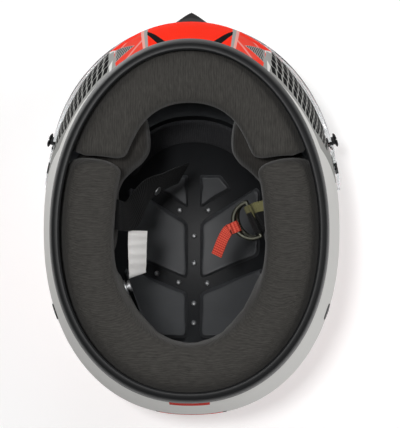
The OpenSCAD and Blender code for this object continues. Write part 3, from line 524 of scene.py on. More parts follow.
# %% Chin graphics
colour = spray(
    tree, chart, colour,
    (RED, (-3, -5), (13.3, -5), (13.3, 8), (11.9, 110), (-3, 110)),
    (RED, (13.3, -5), (24, -5), (24, 15), (22.3, 16.2), (13.3, 9.5)),
    (PALE, (13.3, 8), (14.4, 8), (13.9, 60), (12.8, 60)),
    (SILVER, (12.8, 8), (13.6, 8), (13.0, 60), (11.8, 60)),
    (BLACK, (6.2, 7), (8.9, 7), (12.3, 37), (12.2, 46)),
    (SILVER, (16.5, 28.5), (24.2, 21.5), (22.5, 46)))
hatch = add(tree, MATH, [patch(tree, chart, (16.9, 29), (23.5, 23), (22.0, 44)),
                         stripes(tree, chart, 0.5, 2.4, 0.5)], operation="MULTIPLY")
colour = add(tree, MIX, {0: hatch, 6: colour, 7: paint("202120")}, data_type="RGBA")
print("chin graphics laid out")

# %% Check band and side blades
band = patch(tree, chart, *BAND_LINE, (60, 58), (58, 100), (24.6, 62))
band = add(tree, MATH, [band, checks(tree, chart, BAND_LINE)], operation="MULTIPLY")
colour = add(tree, MIX, {0: band, 6: colour, 7: BLACK}, data_type="RGBA")
colour = spray(
    tree, chart, colour,
    (SILVER, (24.2, 14), (27.0, 11), (26.3, 25), (24.4, 50), (23.0, 47)),
    (WHITE, (24.4, 30), (26.2, 12), (27.0, 11), (26.3, 25)),
    (WHITE, (49, 5), (56, 5), (66, 24), (60, 24)),
    (RED, (53.5, 150), (110, 168), (165, 192), (160, 204), (104, 196), (53.5, 178)),
    (BLACK, (53.5, 145), (110, 163), (172, 192), (165, 192), (110, 165.5), (53.5, 147.5)))
print("check band and side blades laid out")

# %% Crown stripes and the panel at the back
def stripe_over(tree, chart, half, low, high):
    """Share of a stripe along the middle of the helmet, between two heights."""
    width = add(tree, MATH, [half, chart[2]], operation="SUBTRACT")
    above = add(tree, MATH, [chart[1], low], operation="SUBTRACT")
    below = add(tree, MATH, [high, chart[1]], operation="SUBTRACT")
    inside = add(tree, MATH, [width, above], operation="MINIMUM")
    inside = add(tree, MATH, [inside, below], operation="MINIMUM")
    return add(tree, RANGE, {"Value": inside, "From Min": -MASKED / 2, "From Max": MASKED / 2})


behind = add(tree, MATH, [chart[0], 90 * ARC], operation="GREATER_THAN")
over_port = add(tree, MATH, [chart[1], PORT_HIGH], operation="GREATER_THAN")
where = add(tree, MATH, [behind, over_port], operation="MAXIMUM")
# Half width and lower end of each stripe. They all run over the crown, and each lies on the one before.
for shade, half, low in ((BLACK, 30, 84), (RED, 27, 87), (WHITE, 17, 97), (SILVER, 3, 111)):
    upper = add(tree, MATH, [stripe_over(tree, chart, half, low, CROWN + 1), where], operation="MULTIPLY")
    colour = add(tree, MIX, {0: upper, 6: colour, 7: shade}, data_type="RGBA")
REAR_PANEL, PANEL_LOW, PANEL_HIGH = 16.5, 13.5, 25.5
rear = stripe_over(tree, chart, REAR_PANEL, PANEL_LOW, PANEL_HIGH)
rear = add(tree, MATH, [rear, behind], operation="MULTIPLY")
colour = add(tree, MIX, {0: rear, 6: colour, 7: paint("C8352B")}, data_type="RGBA")
peel = add(tree, NOISE, {"Vector": place_of(tree), "Scale": 1 / 3.5})
connect(tree, shader, {
    "Base Color": colour, "Normal": add(tree, BUMP, {"Height": peel, "Distance": 0.01 * MM})})
print("lacquer has", len(tree.nodes), "nodes")

# %% Shell piece
shell = piece("lacquered_shell", wrapped_grid(SHELL_COLUMNS, SHELL_ROWS, shell_place, in_port), "helmet",
              lacquer, ["outer_shell"])
# Bare laminate inside: dark resin over woven cloth, mottled where the resin pooled.
laminate, tree, shader = finish("bare_dark_laminate", Roughness=0.6, Specular_IOR_Level=0.2)
pools = add(tree, NOISE, {"Vector": place_of(tree), "Scale": 1 / 12})
resin = add(tree, MIX, {0: pools, 6: paint("161617"), 7: paint("242425")}, data_type="RGBA")
connect(tree, shader, {"Base Color": resin})
shell.data.materials.append(laminate)
modify(shell, "SOLIDIFY", thickness=SHELL_WALL * MM, offset=-1, use_even_offset=True, material_offset=1)
cut_away(
    shell,
    drill(anchor_at, anchor_way, (5.1, -12, -1), (7.2, -1, 8)),
    drill(rivet_at, rivet_way, (2.5, -12, -1.4), (5.1, -1.4, 8)),
    drill((pivot_x, pivot_y, PIVOT_LEVEL), (1, 0, 0), (2.6, -12, 0.9), (10.3, 0.9, 8)))
shell.data.set_sharp_from_angle(angle=math.radians(35))
print("shell has", len(shell.data.polygons), "faces")

# %% [markdown]
# ## Rubber trim
# A moulded rubber channel is pushed onto the raw lower edge of the shell, and a thinner one runs
# round the eye port. Each is one section carried round an edge, so both are wrapped grids that close
# in both directions, and a Bevel modifier rounds the moulded corners.

# %% Moulded rubber
# Satin black EPDM rubber: dark, with a soft, wide highlight and fine moulding grain.
rubber = moulded("moulded_rubber", "070809", "0E0F11", 14, 0.9, 0.03, Roughness=0.4,
                 Specular_IOR_Level=0.18)
print("rubber ready")

# %% Lower edge trim
SLOT_FIT, TRIM_LIP, TRIM_HEIGHT = 0.15, 1.5, 12
TRIM_INSIDE = SHELL_WALL + SLOT_FIT + TRIM_LIP
TRIM_OUTSIDE = -SLOT_FIT - TRIM_LIP * 0.8
TRIM_SECTION = [
    (TRIM_INSIDE, 2), (TRIM_INSIDE, TRIM_HEIGHT), (TRIM_INSIDE - TRIM_LIP / 2, TRIM_HEIGHT + 1.2),
    (SHELL_WALL + SLOT_FIT, TRIM_HEIGHT), (SHELL_WALL + SLOT_FIT, TRIM_FLOOR - SLOT_FIT),
    (-SLOT_FIT, TRIM_FLOOR - SLOT_FIT), (-SLOT_FIT, TRIM_HEIGHT), (TRIM_OUTSIDE / 2, TRIM_HEIGHT),
    (TRIM_OUTSIDE, TRIM_HEIGHT - 2), (TRIM_OUTSIDE, 2.2), (-0.6, 0.6), (1, 0), (SHELL_WALL - 0.6, 0),
    (SHELL_WALL + TRIM_LIP * 0.6, 0.6)]


def trim_place(u, v):
    inset, z = TRIM_SECTION[round(v * len(TRIM_SECTION)) % len(TRIM_SECTION)]
    return spot(mix(-180, 180, u), z, inset)


trim = piece("edge_trim", wrapped_grid(SHELL_COLUMNS, len(TRIM_SECTION), trim_place), "helmet", rubber,
             ["base_trim"])
modify(trim, "BEVEL", width=0.45 * MM, segments=2, limit_method="ANGLE", angle_limit=math.radians(24))
print("trim has", len(trim.data.polygons), "faces")

# %% Port gasket
GASKET_LIP, GASKET_WIDTH = 1, 5
# Length of one degree round the port, in millimetres.
PORT_ARC = 2.6
GASKET_INSIDE = SHELL_WALL + SEAL_FIT
GASKET_SECTION = [
    (-2, -0.3), (-2, SHELL_WALL + 0.3), (-0.9, GASKET_INSIDE + GASKET_LIP),
    (GASKET_WIDTH, GASKET_INSIDE + GASKET_LIP), (GASKET_WIDTH, GASKET_INSIDE), (-SEAL_FIT, GASKET_INSIDE),
    (-SEAL_FIT, -SEAL_FIT), (GASKET_WIDTH, -SEAL_FIT), (GASKET_WIDTH, -SEAL_FIT - GASKET_LIP * 0.7),
    (GASKET_WIDTH - 1, -SEAL_FIT - GASKET_LIP), (-0.9, -SEAL_FIT - GASKET_LIP)]
PORT_STEPS = 40
edge_angles = [PORT_ANGLE * math.sin(math.pi / 2 * k / PORT_STEPS)
               for k in range(-PORT_STEPS, PORT_STEPS + 1)]
port_ring = [(a, port_edge(a, PORT_LOW, -1)) for a in edge_angles]
port_ring += [(a, port_edge(a, PORT_HIGH, 1)) for a in reversed(edge_angles)]


def gasket_place(u, v):
    count = len(port_ring)
    i = round(u * count) % count
    (a, z), after, before = port_ring[i], port_ring[(i + 1) % count], port_ring[i - 1]
    run, climb = (after[0] - before[0]) * PORT_ARC, after[1] - before[1]
    size = math.hypot(run, climb)
    out, inset = GASKET_SECTION[round(v * len(GASKET_SECTION)) % len(GASKET_SECTION)]
    return spot(a + climb / size * out / PORT_ARC, z - run / size * out, inset)


gasket = piece("port_seal", wrapped_grid(len(port_ring), len(GASKET_SECTION), gasket_place), "helmet",
               rubber, ["port_gasket"], sharp=40)
print("gasket has", len(gasket.data.polygons), "faces")

# %% [markdown]
# ## Foam liner and fitting panels
# The crushable liner is moulded from expanded beads and sprayed black. Only its inner face shows, so
# the skin that is modelled is the inner one, thickened outwards. On the crown sit six fitting panels
# with soft edges. Each panel's outline comes from a few bounding lines whose corners are rounded,
# and the rings of a wrapped grid carry that outline over the bevel and onto the foam.

# %% Sprayed foam
# Expanded polystyrene sprayed with black latex: beads of about 3 mm show faintly under a satin skin.
foam, tree, shader = finish("sprayed_bead_foam", Roughness=0.5, Specular_IOR_Level=0.22)
place = place_of(tree)
beads = add(tree, "ShaderNodeTexVoronoi", {"Vector": place, "Scale": 1 / 3.2}, feature="SMOOTH_F1")
cloud = add(tree, NOISE, {"Vector": place, "Scale": 1 / 18})
shade = add(tree, MIX, {0: cloud, 6: paint("151618"), 7: paint("1E1F21")}, data_type="RGBA")
dark = add(tree, MATH, [beads, 0.35], operation="MULTIPLY")
connect(tree, shader, {
    "Base Color": add(tree, MIX, {0: dark, 6: shade, 7: paint("1D1E20")}, data_type="RGBA"),
    "Normal": add(tree, BUMP, {"Height": beads, "Distance": 0.05 * MM})})

# Thin EVA panels with a moulded satin skin: a broad sheen, and a fine leather-like grain.
panel_skin = moulded("moulded_eva_skin", "38393B", "494A4C", 25, 0.8, 0.035, detail=3, Roughness=0.52,
                     Specular_IOR_Level=0.4)
print("foam finishes ready")

# %% Liner
BROW_LOW, CHEEK_TOP, NAPE_LOW, LINER_SKIN = 187.5, 104, 65, 26
NAPE_ANGLE, STEP_ANGLE = 100, 8
# The grid's lower rows, up to this share of it, follow the edge, and the rest the dome.
EDGE_SHARE, DOME_START = 0.4, 190


def liner_low(a):
    """Height of the foam's lower edge: over the brow, over the cheek pads and at the nape."""
    to_cheek = min(max((abs(a) - PORT_ANGLE) / STEP_ANGLE, 0), 1)
    to_nape = min(max((abs(a) - NAPE_ANGLE) / STEP_ANGLE, 0), 1)
    return mix(mix(BROW_LOW, CHEEK_TOP, to_cheek), NAPE_LOW, to_nape)


def liner_place(u, v):
    a = mix(-180, 180, u)
    low = liner_low(a)
    start = max(low, DOME_START)
    if v < EDGE_SHARE:
        z = mix(low, start, v / EDGE_SHARE)
    else:
        z = crown_height(start, (v - EDGE_SHARE) / (1 - EDGE_SHARE), FOAM_IN)
    return spot(a, z, FOAM_IN)


liner = piece("bead_foam_liner", wrapped_grid(180, 50, liner_place), "helmet", foam,
              ["impact_liner"])
modify(liner, "SOLIDIFY", thickness=LINER_SKIN * MM, offset=1, use_even_offset=False)
modify(liner, "BEVEL", width=2.5 * MM, segments=3, limit_method="ANGLE", angle_limit=math.radians(60))
print("liner has", len(liner.data.polygons), "faces")

# %% Panel outline
PANEL_LIFT, PANEL_WALL, CHANNEL_HALF = 0.9, 4, 5.5
PANEL_BACK = FOAM_IN + PANEL_LIFT
PANEL_FACE = PANEL_BACK + PANEL_WALL
# Each branch is where its middle meets the spine, and its slope in degrees.
FRONT_BRANCH, REAR_BRANCH = (3.5, 32), (67, 22)


def dome_height(x, y, inset):
    """Height of a layer of the crown over a place on the plan."""
    low, high = PORT_LOW, CROWN - inset
    a, far = math.degrees(math.atan2(x, AXIS_Y - y)), math.hypot(x, y - AXIS_Y)
    for _ in range(22):
        z = (low + high) / 2
        low, high = (z, high) if reach(a, z, inset) > far else (low, z)
    return z


def branch_line(branch, way):
    """One side of a channel that branches off the spine, as its outward direction and a point."""
    turn = math.radians(branch[1])
    normal = (-way * math.sin(turn), -way * math.cos(turn))
    return normal, (-normal[0] * CHANNEL_HALF, branch[0] - normal[1] * CHANNEL_HALF)


def outline(t, centre, lines, roundness=14):
    """Reach of a rounded outline at an angle. Each line is its outward direction and a point."""
    way = (math.cos(t), math.sin(t))
    sum_of_lines = 0
    for normal, point in lines:
        span = (point[0] - centre[0]) * normal[0] + (point[1] - centre[1]) * normal[1]
        sum_of_lines += max(0, (way[0] * normal[0] + way[1] * normal[1]) / span) ** roundness
    return sum_of_lines ** (-1 / roundness)


print("crown foam is %.1f mm up" % dome_height(0, AXIS_Y, FOAM_IN))

# %% Fitting panels
SPINE = ((-1, 0), (CHANNEL_HALF, 0))
PANELS = {
    "front": ((14, -27), [SPINE, ((0, -1), (0, -37)), ((0.8, -0.6), (27, -34)),
                          branch_line(FRONT_BRANCH, -1)]),
    "mid": ((30, 22), [SPINE, ((1, 0), (60, 0)), branch_line(FRONT_BRANCH, 1),
                       branch_line(REAR_BRANCH, -1)]),
    "rear": ((26, 84), [SPINE, ((0.95, 0.31), (54, 80)), ((0, 1), (0, 111)),
                        branch_line(REAR_BRANCH, 1)])}
# Rings of a panel, from the middle of its face to the middle of its back. Each is the share of the
# outline's reach, a cut off that reach, and the height between back (0) and face (1).
SOFT_EDGE, SUNK = 3.5, -0.14
RINGS = [(k / 12, SOFT_EDGE, 1) for k in range(12)]
RINGS += [(1, SOFT_EDGE * k / 8, mix(SUNK, 1, rise(k / 8))) for k in range(8, -1, -1)]
RINGS += [(0.97, 0, SUNK), (0.5, 0, -0.1), (0, 0, -0.1)]


def panel_grid(centre, lines, side):
    def place(u, v):
        share, cut, lift = RINGS[round(v * (len(RINGS) - 1))]
        t = 2 * math.pi * u
        r = (outline(t, centre, lines) - cut) * share
        x, y = centre[0] + r * math.cos(t), centre[1] + r * math.sin(t)
        return side * x, y, dome_height(x, y, mix(PANEL_BACK, PANEL_FACE, lift))
    return wrapped_grid(96, len(RINGS) - 1, place)


for part, (centre, lines) in PANELS.items():
    for side, word in ((1, "left"), (-1, "right")):
        name = "panel_%s_%s" % (part, word)
        grid = panel_grid(centre, lines, side)
        piece("fitting_" + name, grid, "helmet", panel_skin, [name])
print(2 * len(PANELS), "fitting panels")

# %% [markdown]
# ## Padded fabric
# The front pad, the neck roll and the cheek and brow pads are cut foam in sewn covers of knitted
# cloth. A subdivided block would look like plastic, so each starts as a cushion swept round the
# helmet a little too small, is remeshed into even faces, and is blown up by a cloth simulation. How
# far each point may move is capped, so that a pad fills its place and stays clear of its neighbours.

# %% Knitted cloth
# Charcoal polyester knit laid over foam: fine ribs of heathered yarn, soft fuzz and no highlight. The
# real ribs are 0.6 mm apart, too fine to show here, so they are drawn 1.9 mm apart and faint.
# The ribs wander by up to 5 mm over about 20 mm, and the heather's streaks are some 7 mm long.
RIB, STREAK, WANDER = 1.9, 9, 5


def knit(name, dark, light, fuzz=0.12, across="X"):
    """Heathered knit whose ribs lie side by side along one axis."""
    cloth, tree, shader = finish(name, Roughness=0.92, Specular_IOR_Level=0.15, Sheen_Weight=fuzz,
                                 Sheen_Roughness=0.5)
    place = place_of(tree)
    wander = add(tree, NOISE, {"Vector": place, "Scale": 1 / 20}).outputs["Color"]
    bent = add(tree, "ShaderNodeVectorMath", [wander, (WANDER, WANDER, WANDER), place],
               operation="MULTIPLY_ADD")
    axes = add(tree, SPLIT, [bent])
    side = axes.outputs["X"]
    if across == "Y":
        side = add(tree, MATH, [axes.outputs["Y"], axes.outputs["Z"]], operation="ADD")
    turn = add(tree, MATH, [side, 2 * math.pi / RIB], operation="MULTIPLY")
    ribs = add(tree, RANGE, {"Value": add(tree, MATH, [turn], operation="SINE"), "From Min": -1})
    squeeze = (1 / RIB, 1 / STREAK, 1 / STREAK) if across == "X" else (1 / STREAK, 1 / RIB, 1 / RIB)
    yarn = add(tree, "ShaderNodeVectorMath", {0: bent, 1: squeeze}, operation="MULTIPLY")
    heather = add(tree, NOISE, {"Vector": yarn, "Scale": 1.3, "Detail": 3, "Roughness": 0.65})
    fibres = add(tree, NOISE, {"Vector": place, "Scale": 1 / 1.1, "Detail": 3})
    mottle = add(tree, MATH, [heather, 1.1, -0.15], operation="MULTIPLY_ADD")
    share = add(tree, MATH, [ribs, 0.15, mottle], operation="MULTIPLY_ADD")
    height = add(tree, MATH, [fibres, 0.8, ribs], operation="MULTIPLY_ADD")
    connect(tree, shader, {
        "Base Color": add(tree, MIX, {0: share, 6: paint(dark), 7: paint(light)}, data_type="RGBA"),
        "Normal": add(tree, BUMP, {"Height": height, "Distance": 0.1 * MM})})
    return cloth


pad_cloth = knit("charcoal_polyester_knit", "262523", "4A4845")
roll_cloth = knit("charcoal_cross_knit", "262523", "4A4845", across="Y")
cheek_cloth = knit("dark_polyester_knit", "211F1E", "3F3D3A")
brow_cloth = knit("smooth_black_jersey", "242426", "363638", fuzz=0.08)
print("knit ribs are drawn %.1f mm apart" % RIB)

# %% Cushion form
FULLNESS, PAD_SLACK = 0.45, 1.6


def squared(x):
    """Fills out a sine or cosine, so that the section it draws is a rounded block."""
    return math.copysign(abs(x) ** FULLNESS, x)


def cushion(mid, half, shift, inner, outer, low, high, steps, slack=PAD_SLACK, end_slack=0.4, corner=5):
    """Closed cushion between two faces, from angle mid - half to mid + half, a little too small."""
    half -= math.degrees(end_slack / inner(mid + half, low))

    def place(u, v):
        a = mid + half * math.sin(math.pi * (u - 0.5))
        d = min(1, max(0, (half - abs(a - mid)) * math.radians(inner(a, low)) / corner))
        full = (1 - (1 - d) ** 3) ** (1 / 3)
        t = 2 * math.pi * v
        across = 0.5 - 0.5 * squared(math.cos(t)) * full
        up = squared(math.sin(t)) * full
        z = mix(low + slack, high(a) - slack, 0.5 + up / 2)
        b = a + shift(a) * across
        return at(b, mix(inner(a, z) + slack, outer(b, z) - slack, across), z)
    return wrapped_grid(steps, 36, place)


VOXEL, PRESSURE, LAST_FRAME = 4.5, 4, 20


def blown_up(made, cap):
    """Remeshes a pad and swells it by a pressure, each point by at most a cap in millimetres."""
    modify(made, "REMESH", mode="VOXEL", voxel_size=VOXEL * MM, use_smooth_shade=True)
    start = [v.co.copy() for v in made.data.vertices]
    cloth = made.modifiers.new("swell", "CLOTH")
    cloth.settings.use_pressure = True
    cloth.settings.uniform_pressure_force = PRESSURE
    cloth.settings.effector_weights.gravity = 0
    for frame_number in range(1, LAST_FRAME + 1):
        bpy.context.scene.frame_set(frame_number)
    swollen = made.evaluated_get(bpy.context.evaluated_depsgraph_get()).data
    moved = [v.co.copy() for v in swollen.vertices]
    made.modifiers.remove(cloth)
    for vert, old, new in zip(made.data.vertices, start, moved):
        step = new - old
        vert.co = old + step * min(1, cap * MM / max(step.length, 1e-9))
    bpy.context.scene.frame_set(1)
    modify(made, "SUBSURF", levels=1, render_levels=1)
    return made


print("cushions are made %.1f mm small" % PAD_SLACK)

# %% Front pad and neck roll
NECK_SIDE, NECK_FRONT, NECK_REAR = 61, 99.6, 89.4
PAD_LOW, PAD_HIGH, SEAM_ANGLE, SEAM_GAP, SEAM_LEAN = 5, 34.5, 46, 0.5, 18
CLIMB_ANGLE, CLIMB_SPAN, SWELL = 113, 9, 2.2


def neck_edge(a, z):
    turn = math.radians(a)
    n, end = (2.3, NECK_FRONT) if math.cos(turn) > 0 else (2.1, NECK_REAR)
    return ((abs(math.sin(turn)) / NECK_SIDE) ** n + (abs(math.cos(turn)) / end) ** n) ** (-1 / n)


def pad_edge(a, z):
    inset = mix(TRIM_INSIDE + 0.9, SHELL_WALL + 0.4, rise((z - TRIM_HEIGHT - 2) / 6))
    return reach(a - 360 if a > 180 else a, z, inset)


def lean(a):
    return SEAM_LEAN * math.sin(math.radians(a))


def roll_top(a):
    """The neck roll climbs behind the cheek pads up to the liner."""
    return mix(PAD_HIGH, NAPE_LOW - 3, rise((min(a, 360 - a) - CLIMB_ANGLE) / CLIMB_SPAN))


grid = cushion(0, SEAM_ANGLE - SEAM_GAP, lean, neck_edge, pad_edge, PAD_LOW, lambda a: PAD_HIGH, 90)
front_pad = piece("front_pad_cover", grid, "helmet", pad_cloth, ["front_pad"])
blown_up(front_pad, SWELL)
grid = cushion(180, 180 - SEAM_ANGLE - SEAM_GAP, lean, neck_edge, pad_edge, PAD_LOW, roll_top, 200)
roll = piece("neck_roll_cover", grid, "helmet", roll_cloth, ["neck_roll"])
blown_up(roll, SWELL)
print("neck roll has", len(roll.data.polygons), "faces")

# %% Cheek pads
CHEEK_SIDE, CHEEK_MOUTH, CHEEK_LOW = 61.5, 30.5, 41.5
CHEEK_START, CHEEK_END, CHEEK_SWELL, CHEEK_CORNER = 20, 110, 2.0, 13
CHIN_FOAM, STRAP_ROOM, FOAM_FIT = 17, SHELL_WALL + 5.8, 0.9
# Angles at which the chin's foam ends behind the pad, the liner starts, and the pad draws in.
CHIN_FOAM_END, LINER_START, JAW_ANGLE, JAW_SPAN = 57, 91, 65, 47


def cheek_face(a, z):
    """Straight beside the jaw, and drawn in towards the mouth."""
    return mix(CHEEK_SIDE, CHEEK_MOUTH, rise((JAW_ANGLE - a) / JAW_SPAN)) / math.sin(math.radians(a))


def cheek_back(a, z):
    """The pad lies on the chin's foam, then leaves room for the strap, then lies on the liner."""
    if a < (CHIN_FOAM_END + LINER_START) / 2:
        inset = mix(FOAM_OUT + CHIN_FOAM + FOAM_FIT, STRAP_ROOM, rise((a - CHIN_FOAM_END) / STEP_ANGLE))
    else:
        inset = mix(STRAP_ROOM, FOAM_IN + FOAM_FIT, rise((a - LINER_START) / STEP_ANGLE))
    return reach(a, z, inset)


for side, word in ((1, "left"), (-1, "right")):
    grid = cushion((CHEEK_START + CHEEK_END) / 2, (CHEEK_END - CHEEK_START) / 2, lambda a: 0, cheek_face,
                   cheek_back, CHEEK_LOW, lambda a: CHEEK_TOP - 0.4, 80, end_slack=PAD_SLACK,
                   corner=CHEEK_CORNER)
    if side < 0:
        bmesh.ops.scale(grid, vec=(-1, 1, 1), verts=grid.verts)
        bmesh.ops.recalc_face_normals(grid, faces=grid.faces)
    cheek = piece("cheek_pad_cover_" + word, grid, "helmet", cheek_cloth,
                  ["cheek_pad_" + word])
    blown_up(cheek, CHEEK_SWELL)
print("cheek pads done")

# %% Brow pad
BROW_ANGLE, BROW_THICK, BROW_FIT, BROW_SLACK, BROW_CORNER = 50, 6, 0.5, 0.8, 9
brow_top = mix(BROW_LOW, CROWN - FOAM_IN, 0.4)


def foam_face(a, z):
    return reach(a, z, FOAM_IN + BROW_FIT)


def brow_face(a, z):
    return foam_face(a, z) - BROW_THICK


grid = cushion(0, BROW_ANGLE, lambda a: 0, brow_face, foam_face, BROW_LOW, lambda a: brow_top, 60,
               slack=BROW_SLACK, corner=BROW_CORNER)
brow = piece("brow_pad_cover", grid, "helmet", brow_cloth, ["brow_pad"])
modify(brow, "SUBSURF", levels=1, render_levels=1)
print("brow pad is %.1f mm high" % (brow_top - BROW_LOW))

# %% [markdown]
# ## Visor
# The visor is moulded in clear polycarbonate with a light smoke tint. It follows the shell at a small
# distance, and stands further off at the sides, where it has to clear the shell as it swings up. Its
# face is a wrapped grid from that rule, with flats at the pivots, and it gets its wall and its holes
# as the shell does.

# %% Visor form
VISOR_HIGH, VISOR_ARM, VISOR_END, ARM_ANGLE = 195, 17, 75, 66
VISOR_OPENING, SEAT_RADIUS, SEAT_SLOPE, BARREL_RADIUS, SEAT_WALL = 50, 10, 0.9, 4.5, 2
# Past these angles the visor turns to its pivots and narrows; a little height is left at its ends.
TURN_ANGLE, TAPER_ANGLE, BLUNT = 44, 36, 0.12
visor_seat = pivot_x + SEAT_WALL


def visor_row(a, share):
    """Height on the visor at an angle, from its lower edge (-1) to its upper edge (1)."""
    turn = rise((abs(a) - TURN_ANGLE) / (ARM_ANGLE - TURN_ANGLE))
    taper = rise((abs(a) - TAPER_ANGLE) / (ARM_ANGLE - TAPER_ANGLE))
    middle = mix((VISOR_LOW + VISOR_HIGH) / 2, PIVOT_LEVEL, turn)
    half = mix((VISOR_HIGH - VISOR_LOW) / 2, VISOR_ARM, taper)
    end = max(0, abs(a) - ARM_ANGLE) / (VISOR_END - ARM_ANGLE)
    return middle + half * share * math.sqrt(max(BLUNT, 1 - end ** 2))


def swept_width(y, z, degrees):
    """Half width that the shell needs where this place passes as the visor opens."""
    dy, dz, turn = y - pivot_y, z - PIVOT_LEVEL, math.radians(degrees)
    return half_width(pivot_y + dy * math.cos(turn) + dz * math.sin(turn),
                      PIVOT_LEVEL - dy * math.sin(turn) + dz * math.cos(turn), 0.2 - VISOR_GAP)


def visor_place(a, z, off=0):
    """Place on the visor: over the shell, and further off at the sides for its seats and its swing."""
    p = spot(a, z, -VISOR_GAP - off)
    if abs(a) < 20:
        return p
    from_pivot = math.hypot(p.y - pivot_y, z - PIVOT_LEVEL)
    flat = visor_seat - SEAT_SLOPE * max(0, from_pivot - SEAT_RADIUS - 7)
    free = max(swept_width(p.y, z, VISOR_OPENING * k / 10) for k in range(11))
    return Vector((math.copysign(max(abs(p.x), max(flat, free) + off), a), p.y, z))


def visor_grid(u, v):
    t = 2 * u - 1
    a = VISOR_END * math.copysign(abs(t) ** 0.9, t)
    return visor_place(a, visor_row(a, 2 * v - 1))


print("visor runs to %d degrees on each side" % VISOR_END)

# %% Smoke polycarbonate
# Optical polycarbonate, hard-coated, with a light smoke tint. Its real IOR of 1.58 makes the thin
# bent wall look like a solid lens edge on, so the body's is lowered and the coat keeps the gloss.
# Shadow rays pass through it tinted, so the helmet behind it is lit as behind a real visor.
smoke, tree, shader = finish("smoke_polycarbonate", Base_Color=paint("E6E9EB"), Roughness=0.03, IOR=1.15,
                             Transmission_Weight=1.0, Coat_Weight=0.5, Coat_Roughness=0.03)
light_path = add(tree, "ShaderNodeLightPath", {})
clear = add(tree, "ShaderNodeBsdfTransparent", {"Color": paint("D3D6D8")})
output = next(n for n in tree.nodes if n.type == "OUTPUT_MATERIAL")
through = add(tree, "ShaderNodeMixShader", {0: light_path.outputs["Is Shadow Ray"], 1: shader, 2: clear})
tree.links.new(through.outputs[0], output.inputs["Surface"])
wipe = add(tree, NOISE, {"Vector": place_of(tree), "Scale": 1 / 40, "Detail": 1})
connect(tree, shader, {"Roughness": add(tree, RANGE, {"Value": wipe, "To Min": 0.02, "To Max": 0.06})})
print("visor tint", [round(c, 2) for c in paint("E6E9EB")])

# %% Visor piece
POST_ANGLE, POST_LEVEL = 57.5, 152
post_at = visor_place(POST_ANGLE, POST_LEVEL, VISOR_WALL)
post_round = visor_place(POST_ANGLE + 2, POST_LEVEL) - visor_place(POST_ANGLE - 2, POST_LEVEL)
post_up = visor_place(POST_ANGLE, POST_LEVEL + 4) - visor_place(POST_ANGLE, POST_LEVEL - 4)
post_way = post_round.cross(post_up).normalized()
visor = piece("clear_visor", wrapped_grid(180, 36, visor_grid), "visor", smoke, ["visor"])
modify(visor, "SOLIDIFY", thickness=VISOR_WALL * MM, offset=1, use_even_offset=True)
cut_away(visor, drill((pivot_x, pivot_y, PIVOT_LEVEL), (1, 0, 0), (BARREL_RADIUS + 0.1, -8, 12)),
         drill(post_at, post_way, (2.2, -8, 8)))
modify(visor, "BEVEL", width=0.5 * MM, segments=2, limit_method="ANGLE", angle_limit=math.radians(50))
visor.data.set_sharp_from_angle(angle=math.radians(40))
print("visor has", len(visor.data.polygons), "faces")

# %% [markdown]
# ## Webbing, label and pull tab
# The chin strap, the care label and the red pull tab are flat woven ribbons. Cloth simulation would
# need their stitching, and a remesh would erase them, so each is a rounded section carried along a
# given route. The weave is drawn on the ribbon's own UV map, whose sides are its length and its
# girth in millimetres, shared out evenly over the stations of the route and the section's corners.

# %% Woven ribbons
def curve_through(points, steps):
    """Smooth curve through given points, each a place and a hint of the width's direction."""
    made = []
    for i in range(len(points) - 1):
        a, b = points[max(0, i - 1)], points[i]
        c, d = points[i + 1], points[min(len(points) - 1, i + 2)]
        for k in range(steps):
            t = k / steps
            made.append([0.5 * (2 * q + (r - p) * t + (2 * p - 5 * q + 4 * r - s) * t * t
                                + (3 * q - p - 3 * r + s) * t ** 3) for p, q, r, s in zip(a, b, c, d)])
    return made + [list(points[-1])]


def rounded_section(width, thickness, steps=6):
    """Half-round edges on a flat section, as across and up pairs."""
    edge = thickness / 2
    turns = [math.pi * k / steps for k in range(steps + 1)]
    half = [(width / 2 - edge + edge * math.sin(t), edge * math.cos(t)) for t in turns]
    flat = [(mix(-1, 1, k / 10) * (width / 2 - edge), edge) for k in range(1, 10)]
    under = [(-across, -up) for across, up in flat]
    return half + under + [(-across, -up) for across, up in half] + flat


def ribbon_grid(path, width, thickness, rib=0, rib_pitch=1.4):
    """A ribbon along a path, with closed ends and moulded or woven ribs if it has them."""
    section = rounded_section(width, thickness)
    places = [Vector(p[:3]) for p in path]
    lengths = [0]
    for first, second in zip(places, places[1:]):
        lengths.append(lengths[-1] + (second - first).length)
    last = len(path) - 1
    stations = [0] + list(range(len(path))) + [last]

    def place(u, v):
        k = round(u * (len(stations) - 1))
        i = stations[k]
        along = (places[min(last, i + 1)] - places[max(0, i - 1)]).normalized()
        across = Vector(path[i][3:])
        across = (across - along * across.dot(along)).normalized()
        full = 0 if k in (0, len(stations) - 1) else 1
        swell_of_rib = rib * math.sin(2 * math.pi * lengths[i] / rib_pitch)
        side, up = section[round(v * len(section)) % len(section)]
        lift = up + math.copysign(swell_of_rib, up) if abs(up) > thickness * 0.3 else up
        return places[i] + (across * side + along.cross(across) * lift) * full
    girth = 2 * (width + thickness)
    return wrapped_grid(len(stations) - 1, len(section), place, size=(lengths[-1], girth))


print("ribbon section has", len(rounded_section(25, 1.6)), "corners")

# %% Woven finishes
STRAP_WIDTH, STRAP_THICK = 25, 1.6
STRAP_GIRTH = 2 * (STRAP_WIDTH + STRAP_THICK)


